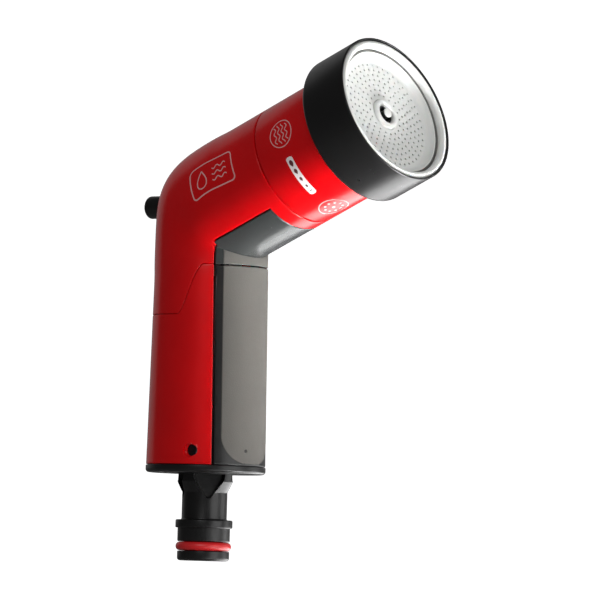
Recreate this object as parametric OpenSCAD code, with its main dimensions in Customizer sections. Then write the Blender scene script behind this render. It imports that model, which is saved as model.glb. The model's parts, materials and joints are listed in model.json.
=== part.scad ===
// Pistol-shaped garden spray gun with a quick-connect plug, a squeeze trigger,
// a latch button and a turning spray head.
// Origin: on the plug's axis at the mouth of the inlet. +Z runs up the handle,
// +X points the way the barrel points, Y is across the handle.

/* [Handle] */
// Outside radius of the handle at its foot
handle_r_low = 18.2; // [17.9:0.1:18.5]
// Outside radius of the handle at the height of the elbow
handle_r_top = 17.0; // [16.8:0.1:17.2]
// Height of the handle's foot above the plug's end
foot_z = 29.0; // [29:0.1:29.4]
// Wall thickness of the moulded casings
wall = 2.2; // [2:0.1:2.4]
// Half width of the opening that the trigger fills
slot_y = 12.5; // [12.4:0.1:12.7]
// Height of the seam between the casings at the back
seam_back = 74.4; // [73:0.2:76]
// Height of the seam between the casings at the front
seam_front = 89.7; // [89.5:0.1:90]
// Distance in front of the axis at which the seam starts to climb
seam_start = 1.6; // [1:0.1:2.2]
// Length over which the seam climbs
seam_run = 7.9; // [7:0.1:9]

/* [Barrel] */
// Angle of the barrel above the horizontal
barrel_angle = 23; // [22:0.5:24]
// Height at which the barrel's axis crosses the handle's axis
elbow_z = 106; // [105.5:0.1:106.5]
// Outside radius of the barrel
barrel_r = 19.2; // [19:0.1:19.4]
// Distance from the crossing to the barrel's front edge
barrel_len = 36.4; // [36.2:0.1:36.5]
// Half width of the dark trim under the barrel
trim_y = 13.6; // [13.2:0.1:14]
// Distance from the crossing to the trim's front edge
trim_len = 31.5; // [30.5:0.1:32]

/* [Spray head] */
// Outside radius of the black bezel
bezel_r = 23.3; // [23:0.1:24]
// Distance from the crossing to the bezel's front edge
head_len = 76.9; // [76.9:0.1:78]
// Number of rings of spray holes
hole_rings = 7; // [4:1:7]
// Radius of each spray hole
hole_r = 0.38; // [0.3:0.02:0.45]
// Distance between spray holes along a ring
hole_step = 2.3; // [2:0.1:4]
// Angle between two settings of the head
mode_angle = 46; // [44:1:47]

/* [Trigger] */
// Height of the pivot pin
pivot_z = 33.2; // [33:0.1:33.4]
// Distance of the pivot pin in front of the handle's axis
pivot_x = 8; // [7.9:0.1:8.1]
// Radius of the pivot pin
pin_r = 1.75; // [1.6:0.05:1.9]
// Half width of the soft pad
pad_y = 10.5; // [9.5:0.1:10.8]
// Thickness of the soft pad
pad_t = 0.9; // [0.7:0.1:1]

/* [Latch button] */
// Height of the button's axis
button_z = 108.4; // [108:0.1:108.6]
// Radius of the button
button_r = 3.5; // [3.3:0.05:3.55]
// Distance from the handle's axis to the button's end
button_x = 25.9; // [24:0.1:26]

/* [Plug] */
// Radius of the plug's locking flange
flange_r = 8.7; // [8.6:0.05:8.8]
// Radius of the water inlet
inlet_r = 4.2; // [4.1:0.05:4.25]
// Number of ribs around the plug's collar
ribs = 4; // [4:1:6]

/* [Hidden] */
NODES = ["body_shell", "handle_shell", "barrel_trim", "trim_pad", "base_cap", "base_screws",
    "inlet_plug", "inlet_o_ring", "inlet_filter", "lower_tube_seal", "handle_tube",
    "upper_tube_seal", "valve_housing", "valve_seat", "valve_end_cap", "end_cap_seal",
    "stem_gland_seal", "outlet_lower_seal", "outlet_tube", "outlet_upper_seal",
    "selector_body", "port_seal", "click_spring", "head_washer", "head_screw", "trigger_pin",
    "trigger_lever", "trigger_pad", "valve_stem", "stem_seal", "valve_spring", "lock_button",
    "lock_slider", "lock_spring", "head_collar", "head_bezel", "spray_face", "face_seal",
    "face_gasket", "jet_nozzle", "jet_sleeve", "selector_disc", "disc_screws"];
node = "all";
$fn = 96;
red = [0.72, 0.02, 0.03];
bright_red = [0.8, 0.05, 0.06];
black = [0.05, 0.05, 0.055];
grey = [0.45, 0.44, 0.41];
pale = [0.87, 0.88, 0.86];
natural = [0.85, 0.84, 0.8];
brass = [0.75, 0.6, 0.3];
steel = [0.7, 0.7, 0.72];
rubber = [0.1, 0.1, 0.1];

// In names, _x, _y and _z are places or half widths on the main axes, _r is a radius,
// and _t is a distance along the barrel from the crossing of the axes.

// The elbow is a ball that touches the handle's back and the barrel's top
elbow_r = 18;
elbow_x = elbow_r - handle_r_top;
elbow_lift = barrel_r - elbow_r; // above the barrel's axis, square to it
elbow_t = (elbow_x + elbow_lift * sin(barrel_angle)) / cos(barrel_angle);
elbow_centre = [elbow_x, 0,
    elbow_z + elbow_t * sin(barrel_angle) + elbow_lift * cos(barrel_angle)];

// Casings
seam_gap = 0.12;             // half the width of the seam
slot_top = 98;
trim_back = 6.2;
trim_gap = 0.2;
cone_top = 95;               // top of the handle cones, above the seam
floor_z = 31;                // underside of the floor in the handle
screw_places = [for (a = [115, 180, 245]) 12.4 * [cos(a), sin(a)]];
screw_seat = 28.1;           // top of the base screws' heads
lever_y = slot_y - 0.3;
lever_top = seam_front - 0.35;

// Water path
cap_top = 28.6;
collar_r = 9;                // plug's collar, which the base cap surrounds
collar_flange_r = 9.6;
collar_gap = 0.15;
filter_r = 3.9;
tube_r = 4.5;                // outside of both water tubes
socket_r = tube_r + 0.05;
handle_bore = 3.4;
outlet_bore = 3.2;
tube_groove_r = 5.9;
lower_seal_z = 41;
upper_seal_z = 68;
stem_z = 82;                 // height of the valve's axis
stem_r = 2;
seat_r = 5.15;
valve_cap_x = -8.6;          // inner face of the valve's end cap
valve_cap_seal_x = -9.7;
plunger_x = -2.2;            // back of the valve stem's head
gland_x = 7.8;
out_x = 4;                   // distance of the rising tube in front of the handle's axis
out_t = out_x / cos(barrel_angle);
outlet_seal_z = 90.1;
outlet_seal_t = 25;

// Spray head
port_r = 8;                  // port's distance from the barrel's axis
click_r = 11;                // click dome's distance from the barrel's axis
click_t = 35.9;              // centre of the click dome
pocket_t = 35.2;             // floor of the pockets in the selector body
post_r = 3;
settings = [-mode_angle, 0, mode_angle];
disc_screw_r = 13.6;
disc_screw_angles = [90, 210, 330];
plate_t = head_len - 6.3;    // back of the perforated plate

// Latch
latch_rod_r = 2;
latch_head_x = -17;          // inner face of the button
latch_wall_x = -10;          // bottom of the button's bore
latch_y = [6, 8];            // arms of the slider

// Outside radius of the handle at height z
function handle_r(z) =
    handle_r_low + (handle_r_top - handle_r_low) * (z - foot_z) / (elbow_z - foot_z);
// Height of the seam at distance x in front of the axis
function ease(share) = share <= 0 ? 0 : share >= 1 ? 1 : share * share * (3 - 2 * share);
function seam_z(x) =
    seam_back + (seam_front - seam_back) * ease((x - seam_start) / seam_run);
// Range that reaches the same way to both sides of its middle
function span(half, middle = 0) = [middle - half, middle + half];
// A range, or its mirror image for the negative side
function sided(range, side) = side > 0 ? range : [-range[1], -range[0]];
function arc(centre, radius, angles) = [for (a = angles) centre + radius * [cos(a), sin(a)]];

// Barrel frame: local z runs along the barrel, local x points down
module along_barrel() translate([0, 0, elbow_z]) rotate([0, 90 - barrel_angle, 0]) children();
// Frame of a part on a horizontal axis pointing forward at height z
module along_x(z) translate([0, 0, z]) rotate([0, 90, 0]) children();
module on_pivot() translate([pivot_x, 0, pivot_z]) rotate([90, 0, 0]) children();
module above_outlet() translate([out_x, 0, 0]) children();
module at_base_screws() for (p = screw_places) translate([p[0], p[1], 0]) children();
module around(radius, angles)
    for (a = angles) rotate([0, 0, a]) translate([radius, 0, 0]) children();

module disc(radius, bottom, top) translate([0, 0, bottom]) cylinder(h = top - bottom, r = radius);
module ring(outer, inner, bottom, top) difference() {
    disc(outer, bottom, top);
    disc(inner, bottom - 1, top + 1);
}
module groove(radius, z, half_height) disc(radius, z - half_height, z + half_height);
module o_ring(radius, section, z) translate([0, 0, z])
    rotate_extrude() translate([radius, 0]) circle(r = section, $fn = 32);
// Block between the ends of three ranges
module box(x, y, z) translate([x[0], y[0], z[0]]) cube([x[1] - x[0], y[1] - y[0], z[1] - z[0]]);
module side_boxes(x, y, z) for (side = [-1, 1]) box(x, sided(y, side), z);
// Cross recess of a screw head
module cross(half_length, half_width, bottom, top) for (a = [0, 90]) rotate([0, 0, a])
    box(span(half_length), span(half_width), [bottom, top]);

module handle_cone(bottom, top, inset = 0) translate([0, 0, bottom])
    cylinder(h = top - bottom, r1 = handle_r(bottom) - inset, r2 = handle_r(top) - inset);
module handle_skin(bottom, top, thickness) difference() {
    handle_cone(bottom, top);
    handle_cone(bottom - 1, top + 1, thickness);
}

// Outer form of the casing, shrunk by inset and lengthened at its ends
module casing_form(inset = 0, below = 0, ahead = 0) {
    handle_cone(foot_z - below, elbow_z, inset);
    translate(elbow_centre) sphere(r = elbow_r - inset);
    along_barrel() {
        translate([0, 0, -3])
            cylinder(h = 10, r1 = handle_r_top + 0.3 - inset, r2 = barrel_r - inset);
        disc(barrel_r - inset, 7, barrel_len + ahead);
    }
}
module casing_hollow() casing_form(wall, 5, 10);

// Everything below the seam, with the cut raised by lift
module below_seam(lift) rotate([90, 0, 0]) linear_extrude(height = 60, center = true)
    polygon(concat([[-40, 0], [40, 0], [40, seam_front + lift]],
        [for (i = [16:-1:0]) let (x = seam_start + seam_run * i / 16) [x, seam_z(x) + lift]],
        [[-40, seam_back + lift]]));

// Openings in the casings: one for the trigger, one for the trim under the barrel
module trigger_slot(half, bottom, top) box([0, 30], span(half), [bottom, top]);
module trim_slot(half, back, front) along_barrel() box([0, 30], span(half), [back, front]);

module body_shell() color(red) difference() {
    union() {
        difference() {
            casing_form();
            casing_hollow();
            below_seam(seam_gap);
            trigger_slot(slot_y, 20, slot_top);
            trim_slot(trim_y, trim_back, trim_len);
        }
        // guide for the latch button
        intersection() {
            along_x(button_z) disc(5.2, -20, -8.5);
            casing_form(0.5);
        }
        // lip that locates the lower casing
        intersection() {
            union() {
                ring(14.85, 13.6, 70, 80);
                ring(15.7, 13.6, 75.2, 80);
            }
            box([-20, -2], span(20), [60, 90]);
        }
    }
    along_x(button_z) {
        disc(button_r + 0.15, -30, latch_wall_x);
        disc(latch_rod_r + 0.05, -12, -7);
    }
    // index notch on top of the barrel's edge
    along_barrel() translate([-barrel_r - 0.5, 0, barrel_len - 3.5]) rotate([0, 90, 0])
        linear_extrude(height = 1.1) polygon([[-1, -1.6], [-1, 1.6], [2.2, 0]]);
}

module handle_shell() color(red) difference() {
    union() {
        difference() {
            intersection() {
                handle_cone(foot_z, cone_top);
                below_seam(-seam_gap);
            }
            handle_cone(foot_z - 5, cone_top + 5, wall);
        }
        // floor and screw bosses
        intersection() {
            union() {
                box([-20, 4], span(20), [floor_z, floor_z + 2]);
                at_base_screws() disc(2.9, floor_z, 40.5);
            }
            handle_cone(foot_z, cone_top, 0.8);
        }
    }
    trigger_slot(slot_y, 20, slot_top);
    disc(5.9, 30, 34);
    at_base_screws() disc(1.25, 30, 39.6);
    on_pivot() cylinder(h = 50, r = pin_r + 0.02, center = true);
}

// Space that the trim fills, above the trigger and under the barrel
module trim_zone() intersection() {
    union() {
        trigger_slot(slot_y - trim_gap, seam_front, slot_top - trim_gap);
        trim_slot(trim_y - trim_gap, trim_back + trim_gap, trim_len - trim_gap);
    }
    box([0, 60], span(20), [seam_front + 0.1, 140]);
}
// Grey patch set into the trim
module patch(grow) difference() {
    intersection() {
        handle_skin(80, 100, pad_t + grow);
        box([2, 30], span(pad_y + grow), [seam_front + 0.3 - grow, 97]);
    }
    along_barrel() disc(barrel_r + 0.15 - grow, 0, 40);
}

module barrel_trim() color(black) difference() {
    intersection() {
        casing_form();
        trim_zone();
    }
    casing_hollow();
    patch(0.04);
}

module trim_pad() color(grey) patch(0);

module base_cap() color(black) {
    rim_r = 18.3;
    round_r = 0.9;
    bottom = 26.6;
    flat_r = rim_r - round_r;
    round_z = bottom + round_r;
    difference() {
        union() {
            rotate_extrude() {
                polygon([[0, bottom], [flat_r, bottom], [rim_r, round_z],
                    [rim_r, cap_top], [0, cap_top]]);
                translate([flat_r, round_z]) intersection() {
                    circle(r = round_r, $fn = 32);
                    translate([0, -round_r]) square(round_r);
                }
            }
            intersection() {
                disc(14.6, cap_top - 0.1, floor_z - 0.1);
                box([-20, 4], span(20), [20, 40]);
            }
        }
        disc(collar_r + collar_gap, 20, 40);
        disc(collar_flange_r + collar_gap, cap_top, 40);
        at_base_screws() {
            disc(1.4, 20, 40);
            disc(2.4, 20, screw_seat);
        }
    }
}

module base_screws() color(steel) at_base_screws() difference() {
    union() {
        disc(2.2, 26.9, screw_seat);
        disc(1.2, 28, 38.5);
    }
    cross(1.3, 0.3, 26, 27.6);
}

// Outside of the plug: radius, height
plug_outline = [[0, 0], [7.2, 0], [7.95, 0.75], [7.95, 2.95], [5.75, 2.95], [5.75, 5.85],
    [7.7, 5.85], [8, 6.15], [8, 10], [flange_r - 0.3, 10], [flange_r, 10.3], [flange_r, 12.1],
    [flange_r - 0.4, 12.5], [6.9, 12.5], [6.9, 21], [collar_r, 24], [collar_r, 28.65],
    [collar_flange_r, 28.65], [collar_flange_r, 30.9], [5.6, 30.9], [5.6, 36.5], [7.2, 36.5],
    [7.2, 44], [0, 44]];
// Pockets between the ribs, shallow and deep: distance across, height
shallow_pocket = [[-5.1, 26.35], [5.1, 26.35], [4.7, 24.4], [0.5, 19], [-0.5, 19], [-4.7, 24.4]];
deep_pocket = [[-4.4, 26.35], [4.4, 26.35], [4.1, 24.4], [2.2, 22], [-2.2, 22], [-4.1, 24.4]];

module pocket(inner_r, outline) translate([inner_r, 0, 0]) rotate([90, 0, 90])
    linear_extrude(height = 5) polygon(outline);

module inlet_plug() color(black) difference() {
    rotate_extrude() polygon(plug_outline);
    disc(inlet_r, -1, 24.5);
    disc(filter_r + 0.05, 24, 29);
    disc(handle_bore, 28, 38);
    disc(socket_r, 37.5, 45);
    groove(tube_groove_r, lower_seal_z, 0.7);
    for (i = [0:ribs - 1]) rotate([0, 0, 360 / ribs * i - 40]) {
        pocket(6.35, shallow_pocket);
        pocket(5.5, deep_pocket);
    }
}

module inlet_o_ring() color(bright_red) o_ring(7.13, 1.35, 4.4);

// Cup with one central hole and two rings of holes
module inlet_filter() color(natural) difference() {
    disc(filter_r, 25, 28.95);
    disc(3.3, 24, 27.9);
    for (n = [0:2])
        around(1.4 * n, [for (i = [0:max(0, n * 6 - 1)]) 60 / max(1, n) * i])
            translate([0, 0, 27]) cylinder(h = 3, r = 0.45, $fn = 24);
}

module tube_seal(z) color(rubber) o_ring(5.2, 0.64, z);
module lower_tube_seal() tube_seal(lower_seal_z);
module handle_tube() color(natural) ring(tube_r, handle_bore, 37.6, 71.9);
module upper_tube_seal() tube_seal(upper_seal_z);

module valve_housing() color(natural) difference() {
    union() {
        along_x(stem_z) {
            disc(7.5, -11, 2.5);
            disc(5.6, 2, 9);
        }
        disc(7, 64, stem_z);
        above_outlet() disc(6.2, stem_z, 92);
    }
    // flat front that the trigger's nose reaches
    box([9, 12], span(8), [stem_z - 1, 87.8]);
    along_x(stem_z) {
        disc(5.2, -12, 1.5);
        disc(4.2, 1, 6.5);
        disc(stem_r + 0.05, 6, 12);
        groove(3.2, gland_x, 0.6);
    }
    disc(socket_r, 63, 72.5);
    groove(tube_groove_r, upper_seal_z, 0.7);
    translate([-3.2, 0, 0]) disc(3, 72, 78);
    above_outlet() {
        disc(2.45, stem_z, 88.5);
        disc(socket_r, 88, 93);
        groove(5.5, outlet_seal_z, 0.5);
    }
}

module valve_seat() color(brass) along_x(stem_z) ring(seat_r, 3, 0, 1.5);

module valve_end_cap() color(black) along_x(stem_z) difference() {
    disc(seat_r, -11, valve_cap_x);
    ring(6, 4.25, valve_cap_seal_x - 0.5, valve_cap_seal_x + 0.5);
    box(span(0.5), span(3.5), [-11.5, -10.2]);
}
module end_cap_seal() color(rubber) along_x(stem_z) o_ring(4.71, 0.45, valve_cap_seal_x);
module stem_gland_seal() color(rubber) along_x(stem_z) o_ring(2.62, 0.55, gland_x);
module outlet_lower_seal() color(rubber) above_outlet() o_ring(5, 0.46, outlet_seal_z);

// Round bar that rises from the valve and turns into the barrel over a ball
module bent_bar(radius, ball_r, bottom, front) {
    above_outlet() disc(radius, bottom, elbow_z + out_x * tan(barrel_angle));
    along_barrel() {
        translate([0, 0, out_t]) sphere(r = ball_r);
        disc(radius, out_t, front);
    }
}
module outlet_tube() color(natural) difference() {
    bent_bar(tube_r, 4.8, 88.05, 27.9);
    bent_bar(outlet_bore, 3.4, 87, 29);
}
module outlet_upper_seal() color(rubber) along_barrel() o_ring(5.05, 0.5, outlet_seal_t);

module selector_body() color(natural) along_barrel() difference() {
    union() {
        disc(6.6, 22, 31);
        disc(16.85, 30, 36);
        disc(post_r, 35, 46.8);
    }
    disc(socket_r, 21, 28);
    groove(5.6, outlet_seal_t, 0.55);
    disc(outlet_bore, 27, 33.4);
    // channel to the port, the port and its seal groove
    translate([-port_r, 0, 32.8]) {
        rotate([0, 90, 0]) cylinder(h = port_r, r = 2.1);
        cylinder(h = 4.2, r = 2.4);
    }
    translate([-port_r, 0, 0]) ring(4.15, 2.85, pocket_t, 37);
    box(span(3.7, click_r), span(2.2), [pocket_t, 37]);
    disc(1.2, 38.5, 48);
}

module port_seal() color(rubber) along_barrel() translate([-port_r, 0, 0]) o_ring(3.5, 0.5, 35.72);

// Plate on two feet, with a dome that clicks into the selector disc
module click_spring() color(steel) along_barrel() {
    box(span(3.5, click_r), span(2), [35.7, 36]);
    for (middle = [click_r - 3.2, click_r + 3.2])
        box(span(0.3, middle), span(2), [35.25, 35.8]);
    difference() {
        translate([click_r, 0, click_t]) sphere(r = 1.1);
        box(span(2, click_r), span(2), [34, 35.75]);
    }
}

module head_washer() color(steel) along_barrel() ring(4.4, 1.35, 46.85, 47.4);
module head_screw() color(steel) along_barrel() difference() {
    union() {
        disc(2.4, 47.4, 49.2);
        disc(1.15, 39, 47.5);
    }
    cross(1.4, 0.35, 48.3, 50);
}

module trigger_pin() color(steel) on_pivot() cylinder(h = 31.6, r = pin_r, center = true);

// Outline of the soft pad, seen from the front, with two rounded lower corners
module pad_outline(half, bottom, top, corner) {
    translate([-half, bottom + corner]) square([2 * half, top - bottom - corner]);
    translate([corner - half, bottom]) square([2 * (half - corner), corner + 1]);
    for (side = [-1, 1]) translate([side * (half - corner), bottom + corner]) circle(r = corner);
}
module pad_body(grow, top) intersection() {
    handle_skin(foot_z, cone_top, pad_t + grow);
    translate([2, 0, 0]) rotate([90, 0, 90]) linear_extrude(height = 30)
        pad_outline(pad_y + grow, foot_z + 0.5 - grow, top, 8);
}

module trigger_lever() color(black) {
    ear_y = [9.6, lever_y];
    hook_y = [6, 8.2];
    difference() {
        union() {
            // curved front wall
            intersection() {
                handle_skin(foot_z, cone_top, wall);
                box([2, 30], span(lever_y), [foot_z, lever_top]);
            }
            // side walls that run inside the casing
            intersection() {
                side_boxes([6, 12.4], [10.4, lever_y], [foot_z, 86]);
                handle_cone(foot_z, cone_top, 0.2);
            }
            // ears on the pivot pin
            for (side = [-1, 1]) let (ear = sided(ear_y, side))
                on_pivot() disc(3.7, ear[0], ear[1]);
            // hooks that the latch catches
            side_boxes([10.6, 12.2], hook_y, [80, 93]);
            side_boxes([10.6, 14.2], hook_y, [80, 86]);
            // nose that pushes the valve stem
            intersection() {
                translate([16, 0, stem_z]) sphere(r = 3);
                box([10, 15.8], span(5), [70, 95]);
            }
        }
        pad_body(0.04, 95);
        on_pivot() cylinder(h = 40, r = pin_r + 0.05, center = true);
    }
}

module trigger_pad() color(grey) difference() {
    pad_body(0, lever_top - 0.05);
    // small round hole low in the pad, on the -Y side
    translate([0, -2.6, 33.4]) rotate([0, 90, 0]) cylinder(h = 30, r = 0.6);
}

module valve_stem() color(steel) along_x(stem_z) {
    disc(stem_r, -2, 12.95);
    disc(4.2, plunger_x, -1.2);
    disc(2.2, -4.4, -2);
}
module stem_seal() color(rubber) along_x(stem_z) ring(4.4, stem_r + 0.03, -1.17, -0.05);

// Spring of round wire that fits between two faces, closed at its ends
module coil(radius, wire, back_face, front_face) {
    turns = 5;
    steps = 22;              // around each turn
    sides = 8;               // around the wire
    face_gap = 0.03;
    start = back_face + face_gap + wire;
    travel = front_face - face_gap - wire - start;
    count = turns * steps;
    dead_rise = 2.1 * wire;
    // dead turn at each end, working turns between
    function rise(share) = share < 1 / turns ? share * turns * dead_rise
        : share > 1 - 1 / turns ? travel - (1 - share) * turns * dead_rise
        : dead_rise + (share * turns - 1) / (turns - 2) * (travel - 2 * dead_rise);
    points = [for (i = [0:count]) for (k = [0:sides - 1])
        let (a = 360 * i / steps, b = 360 * k / sides, reach = radius + wire * cos(b))
            [reach * cos(a), reach * sin(a), start + rise(i / count) + wire * sin(b)]];
    faces = concat(
        [[for (k = [0:sides - 1]) k]],
        [[for (k = [sides - 1:-1:0]) count * sides + k]],
        [for (i = [0:count - 1]) for (k = [0:sides - 1]) let (next = (k + 1) % sides)
            [i * sides + k, (i + 1) * sides + k, (i + 1) * sides + next, i * sides + next]]);
    polyhedron(points = points, faces = faces, convexity = 10);
}
module valve_spring() color(steel) along_x(stem_z) coil(3.3, 0.28, valve_cap_x, plunger_x);
module lock_spring() color(steel) along_x(button_z)
    coil(2.75, 0.25, latch_head_x, latch_wall_x);

module lock_button() color(black) along_x(button_z) {
    rotate_extrude() polygon(concat([[0, latch_head_x], [button_r, latch_head_x]],
        [for (a = [0:6:90]) [button_r - 1.3 * (1 - cos(a)), -button_x + 1.5 - 1.2 * sin(a)]],
        [[0, -button_x]]));
    disc(latch_rod_r, latch_head_x - 0.1, -5.2);
}

// Bridge behind the tube, with an arm on each side that ends in a leg
module lock_slider() color(natural) difference() {
    union() {
        box([-8, -6], span(8), [105, 111.4]);
        side_boxes([-8, 5.8], latch_y, [105, 108.4]);
        side_boxes([3.9, 5.8], latch_y, [92.2, 108.4]);
    }
    along_x(button_z) disc(latch_rod_r + 0.03, -9, -5);
}

// Profiles of the head's turned parts: radius, distance along the barrel
module head_collar() color(red) along_barrel() difference() {
    rotate_extrude() polygon([[15.9, 36.8], [barrel_r - 0.3, 36.8], [barrel_r, 37.1],
        [barrel_r, 59.8], [17.2, 59.8], [17.2, 42], [12, 42], [12, 39.4], [15.9, 39.4]]);
    around(disc_screw_r, disc_screw_angles) disc(1.1, 39, 43);
}

module head_bezel() color(black) along_barrel() rotate_extrude()
    polygon(concat([[16, 51], [17.1, 51], [17.1, 59.95]],
        arc([bezel_r - 1.2, 61.15], 1.2, [-90:15:0]),
        arc([bezel_r - 0.5, head_len - 0.5], 0.5, [0:15:90]),
        [[22.7, head_len], [22.7, 67], [18.6, 67], [16, 64.4]]));

module spray_face() color(pale) along_barrel() difference() {
    // rounded rim, groove for the gasket, coved wall and flat plate
    rotate_extrude() polygon(concat(
        [[5.05, plate_t], [20.3, plate_t], [20.3, 67.95], [22.6, 67.95]],
        arc([21.55, head_len - 1.1], 1.05, [0:15:180]),
        [[20.5, 73.5], [19.75, 73.5], [19.75, 74.5], [19.6, 74.7], [19.3, 74.6]],
        arc([17.1, plate_t + 4], 2.2, [-15:-15:-90]),
        [[5.05, plate_t + 1.8]]));
    // every second ring is turned by half a step
    for (i = [0:hole_rings - 1])
        let (ring_r = 6.5 + 9.9 * i / (hole_rings - 1), count = round(2 * PI * ring_r / hole_step))
            around(ring_r, [for (j = [0:count - 1]) 360 / count * (j + 0.5 * (i % 2))])
                translate([0, 0, plate_t - 1]) cylinder(h = 4, r = hole_r, $fn = 16);
}

module face_seal() color(rubber) along_barrel() o_ring(21.4, 0.45, 67.47);
module face_gasket() color(rubber) along_barrel() ring(20.45, 19.8, 73.55, 75.2);

module jet_nozzle() color(pale) along_barrel() {
    rotate_extrude() polygon([[6.05, 42.4], [7.4, 42.4], [7.4, 50.5], [4.9, 55],
        [4.9, plate_t + 2.4], [4.5, plate_t + 2.8], [3.7, plate_t + 2.8], [2.9, plate_t + 2.0],
        [2.9, 56], [6.05, 51]]);
    // core of the jet, on three spokes
    disc(1.3, 58, plate_t + 3.2);
    for (a = [30, 150, 270]) rotate([0, 0, a]) box([1, 3.2], span(0.4), [58, 61]);
}

module jet_sleeve() color(black) along_barrel() ring(2.85, 2.4, 61.5, plate_t + 1.8);

module selector_disc() color(natural) along_barrel() difference() {
    union() {
        disc(15.8, 36.3, 39.3);
        disc(6, 39, 46.5);
    }
    disc(post_r + 0.05, 36, 48);
    around(-port_r, settings) disc(2.3, 35, 41);
    around(click_r, settings) translate([0, 0, click_t]) sphere(r = 1.25);
    around(disc_screw_r, disc_screw_angles) {
        disc(1.1, 35, 41);
        disc(1.9, 35, 37.7);
    }
}

module disc_screws() color(steel) along_barrel()
    around(disc_screw_r, disc_screw_angles) difference() {
        union() {
            disc(1.8, 36.45, 37.65);
            disc(1.05, 37.6, 42);
        }
        cross(1.1, 0.25, 36, 37);
    }

function shown(name) = node == "all" || node == name;
if (shown("body_shell")) body_shell();
if (shown("handle_shell")) handle_shell();
if (shown("barrel_trim")) barrel_trim();
if (shown("trim_pad")) trim_pad();
if (shown("base_cap")) base_cap();
if (shown("base_screws")) base_screws();
if (shown("inlet_plug")) inlet_plug();
if (shown("inlet_o_ring")) inlet_o_ring();
if (shown("inlet_filter")) inlet_filter();
if (shown("lower_tube_seal")) lower_tube_seal();
if (shown("handle_tube")) handle_tube();
if (shown("upper_tube_seal")) upper_tube_seal();
if (shown("valve_housing")) valve_housing();
if (shown("valve_seat")) valve_seat();
if (shown("valve_end_cap")) valve_end_cap();
if (shown("end_cap_seal")) end_cap_seal();
if (shown("stem_gland_seal")) stem_gland_seal();
if (shown("outlet_lower_seal")) outlet_lower_seal();
if (shown("outlet_tube")) outlet_tube();
if (shown("outlet_upper_seal")) outlet_upper_seal();
if (shown("selector_body")) selector_body();
if (shown("port_seal")) port_seal();
if (shown("click_spring")) click_spring();
if (shown("head_washer")) head_washer();
if (shown("head_screw")) head_screw();
if (shown("trigger_pin")) trigger_pin();
if (shown("trigger_lever")) trigger_lever();
if (shown("trigger_pad")) trigger_pad();
if (shown("valve_stem")) valve_stem();
if (shown("stem_seal")) stem_seal();
if (shown("valve_spring")) valve_spring();
if (shown("lock_button")) lock_button();
if (shown("lock_slider")) lock_slider();
if (shown("lock_spring")) lock_spring();
if (shown("head_collar")) head_collar();
if (shown("head_bezel")) head_bezel();
if (shown("spray_face")) spray_face();
if (shown("face_seal")) face_seal();
if (shown("face_gasket")) face_gasket();
if (shown("jet_nozzle")) jet_nozzle();
if (shown("jet_sleeve")) jet_sleeve();
if (shown("selector_disc")) selector_disc();
if (shown("disc_screws")) disc_screws();
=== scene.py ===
"""Garden hose spray gun with an upright handle, a tilted barrel and a turning spray head.

The handle stands on the Z axis. The barrel leaves its top towards +X, rising 23 degrees, and
ends in the spray head. The squeeze lever is on the front (+X) of the handle, the latch knob on
the back (-X). Y runs across, and the camera stands at the front on the -Y side.
Lengths are in millimetres up to new_obj; the stage, lights and camera are in metres.
"""
import bpy
import bmesh
import json
import math
import numpy as np
from mathutils import Vector, Matrix

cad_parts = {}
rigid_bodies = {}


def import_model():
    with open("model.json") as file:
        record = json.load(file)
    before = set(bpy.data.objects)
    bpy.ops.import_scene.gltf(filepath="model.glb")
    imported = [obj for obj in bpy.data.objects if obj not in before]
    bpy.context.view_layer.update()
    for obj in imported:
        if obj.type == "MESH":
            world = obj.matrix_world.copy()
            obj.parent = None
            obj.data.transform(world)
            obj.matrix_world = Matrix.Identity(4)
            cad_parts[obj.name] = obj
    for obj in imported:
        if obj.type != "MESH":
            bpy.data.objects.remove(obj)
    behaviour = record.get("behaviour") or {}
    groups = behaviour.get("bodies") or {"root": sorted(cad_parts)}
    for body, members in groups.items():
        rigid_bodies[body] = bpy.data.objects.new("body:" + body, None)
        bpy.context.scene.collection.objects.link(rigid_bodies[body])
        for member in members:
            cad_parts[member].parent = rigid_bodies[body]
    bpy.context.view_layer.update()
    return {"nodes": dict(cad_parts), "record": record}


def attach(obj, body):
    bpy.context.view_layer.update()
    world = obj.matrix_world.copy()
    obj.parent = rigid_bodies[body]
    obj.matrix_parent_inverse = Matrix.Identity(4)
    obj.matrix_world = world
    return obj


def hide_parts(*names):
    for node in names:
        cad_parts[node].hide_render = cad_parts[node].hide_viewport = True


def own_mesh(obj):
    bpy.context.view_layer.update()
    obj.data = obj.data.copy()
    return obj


for old in list(bpy.data.objects):
    bpy.data.objects.remove(old)
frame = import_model()
NODES = frame["nodes"]
MM = 0.001

# ------------------------------------------------------------ driving dimensions (mm)
TILT = math.radians(23.0)        # rise of the barrel
ELBOW_Z = 106.0                  # the barrel's axis meets the handle's axis here
BARREL_R = 19.2
HANDLE_FOOT_R = 18.2
HANDLE_TOP_R = 17.0
FOOT_Z = 29.0
ELBOW_R = 18.0                   # ball that rounds the back of the elbow
BODY_END = 36.4                  # along the barrel: front end of the body casing
TRIM_END = 31.5                  # along the barrel: front end of the underside trim
HEAD_END = 76.9                  # along the barrel: front end of the spray head
BEZEL_R = 23.3

SEAM_BACK_Z = 74.4               # seam between handle and body casing
SEAM_FRONT_Z = 89.7
SEAM_RISE_X = 1.6                # the seam starts to rise here ...
SEAM_RUN = 7.9                   # ... and is level again after this run
GAP = 0.05                       # each casing's distance from the seam line
CASING_EDGE_R = 0.26             # moulded edge of the casings
CASING_WALL = 2.2
CASING_COLUMNS = 200
SLOT_HALF = 12.5                 # half width of the front opening in the handle
SLOT_GROWTH = 1.1                # added to it under the barrel
PAD_HALF = 10.5                  # half width of the grip pad and of the trim patch

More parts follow.
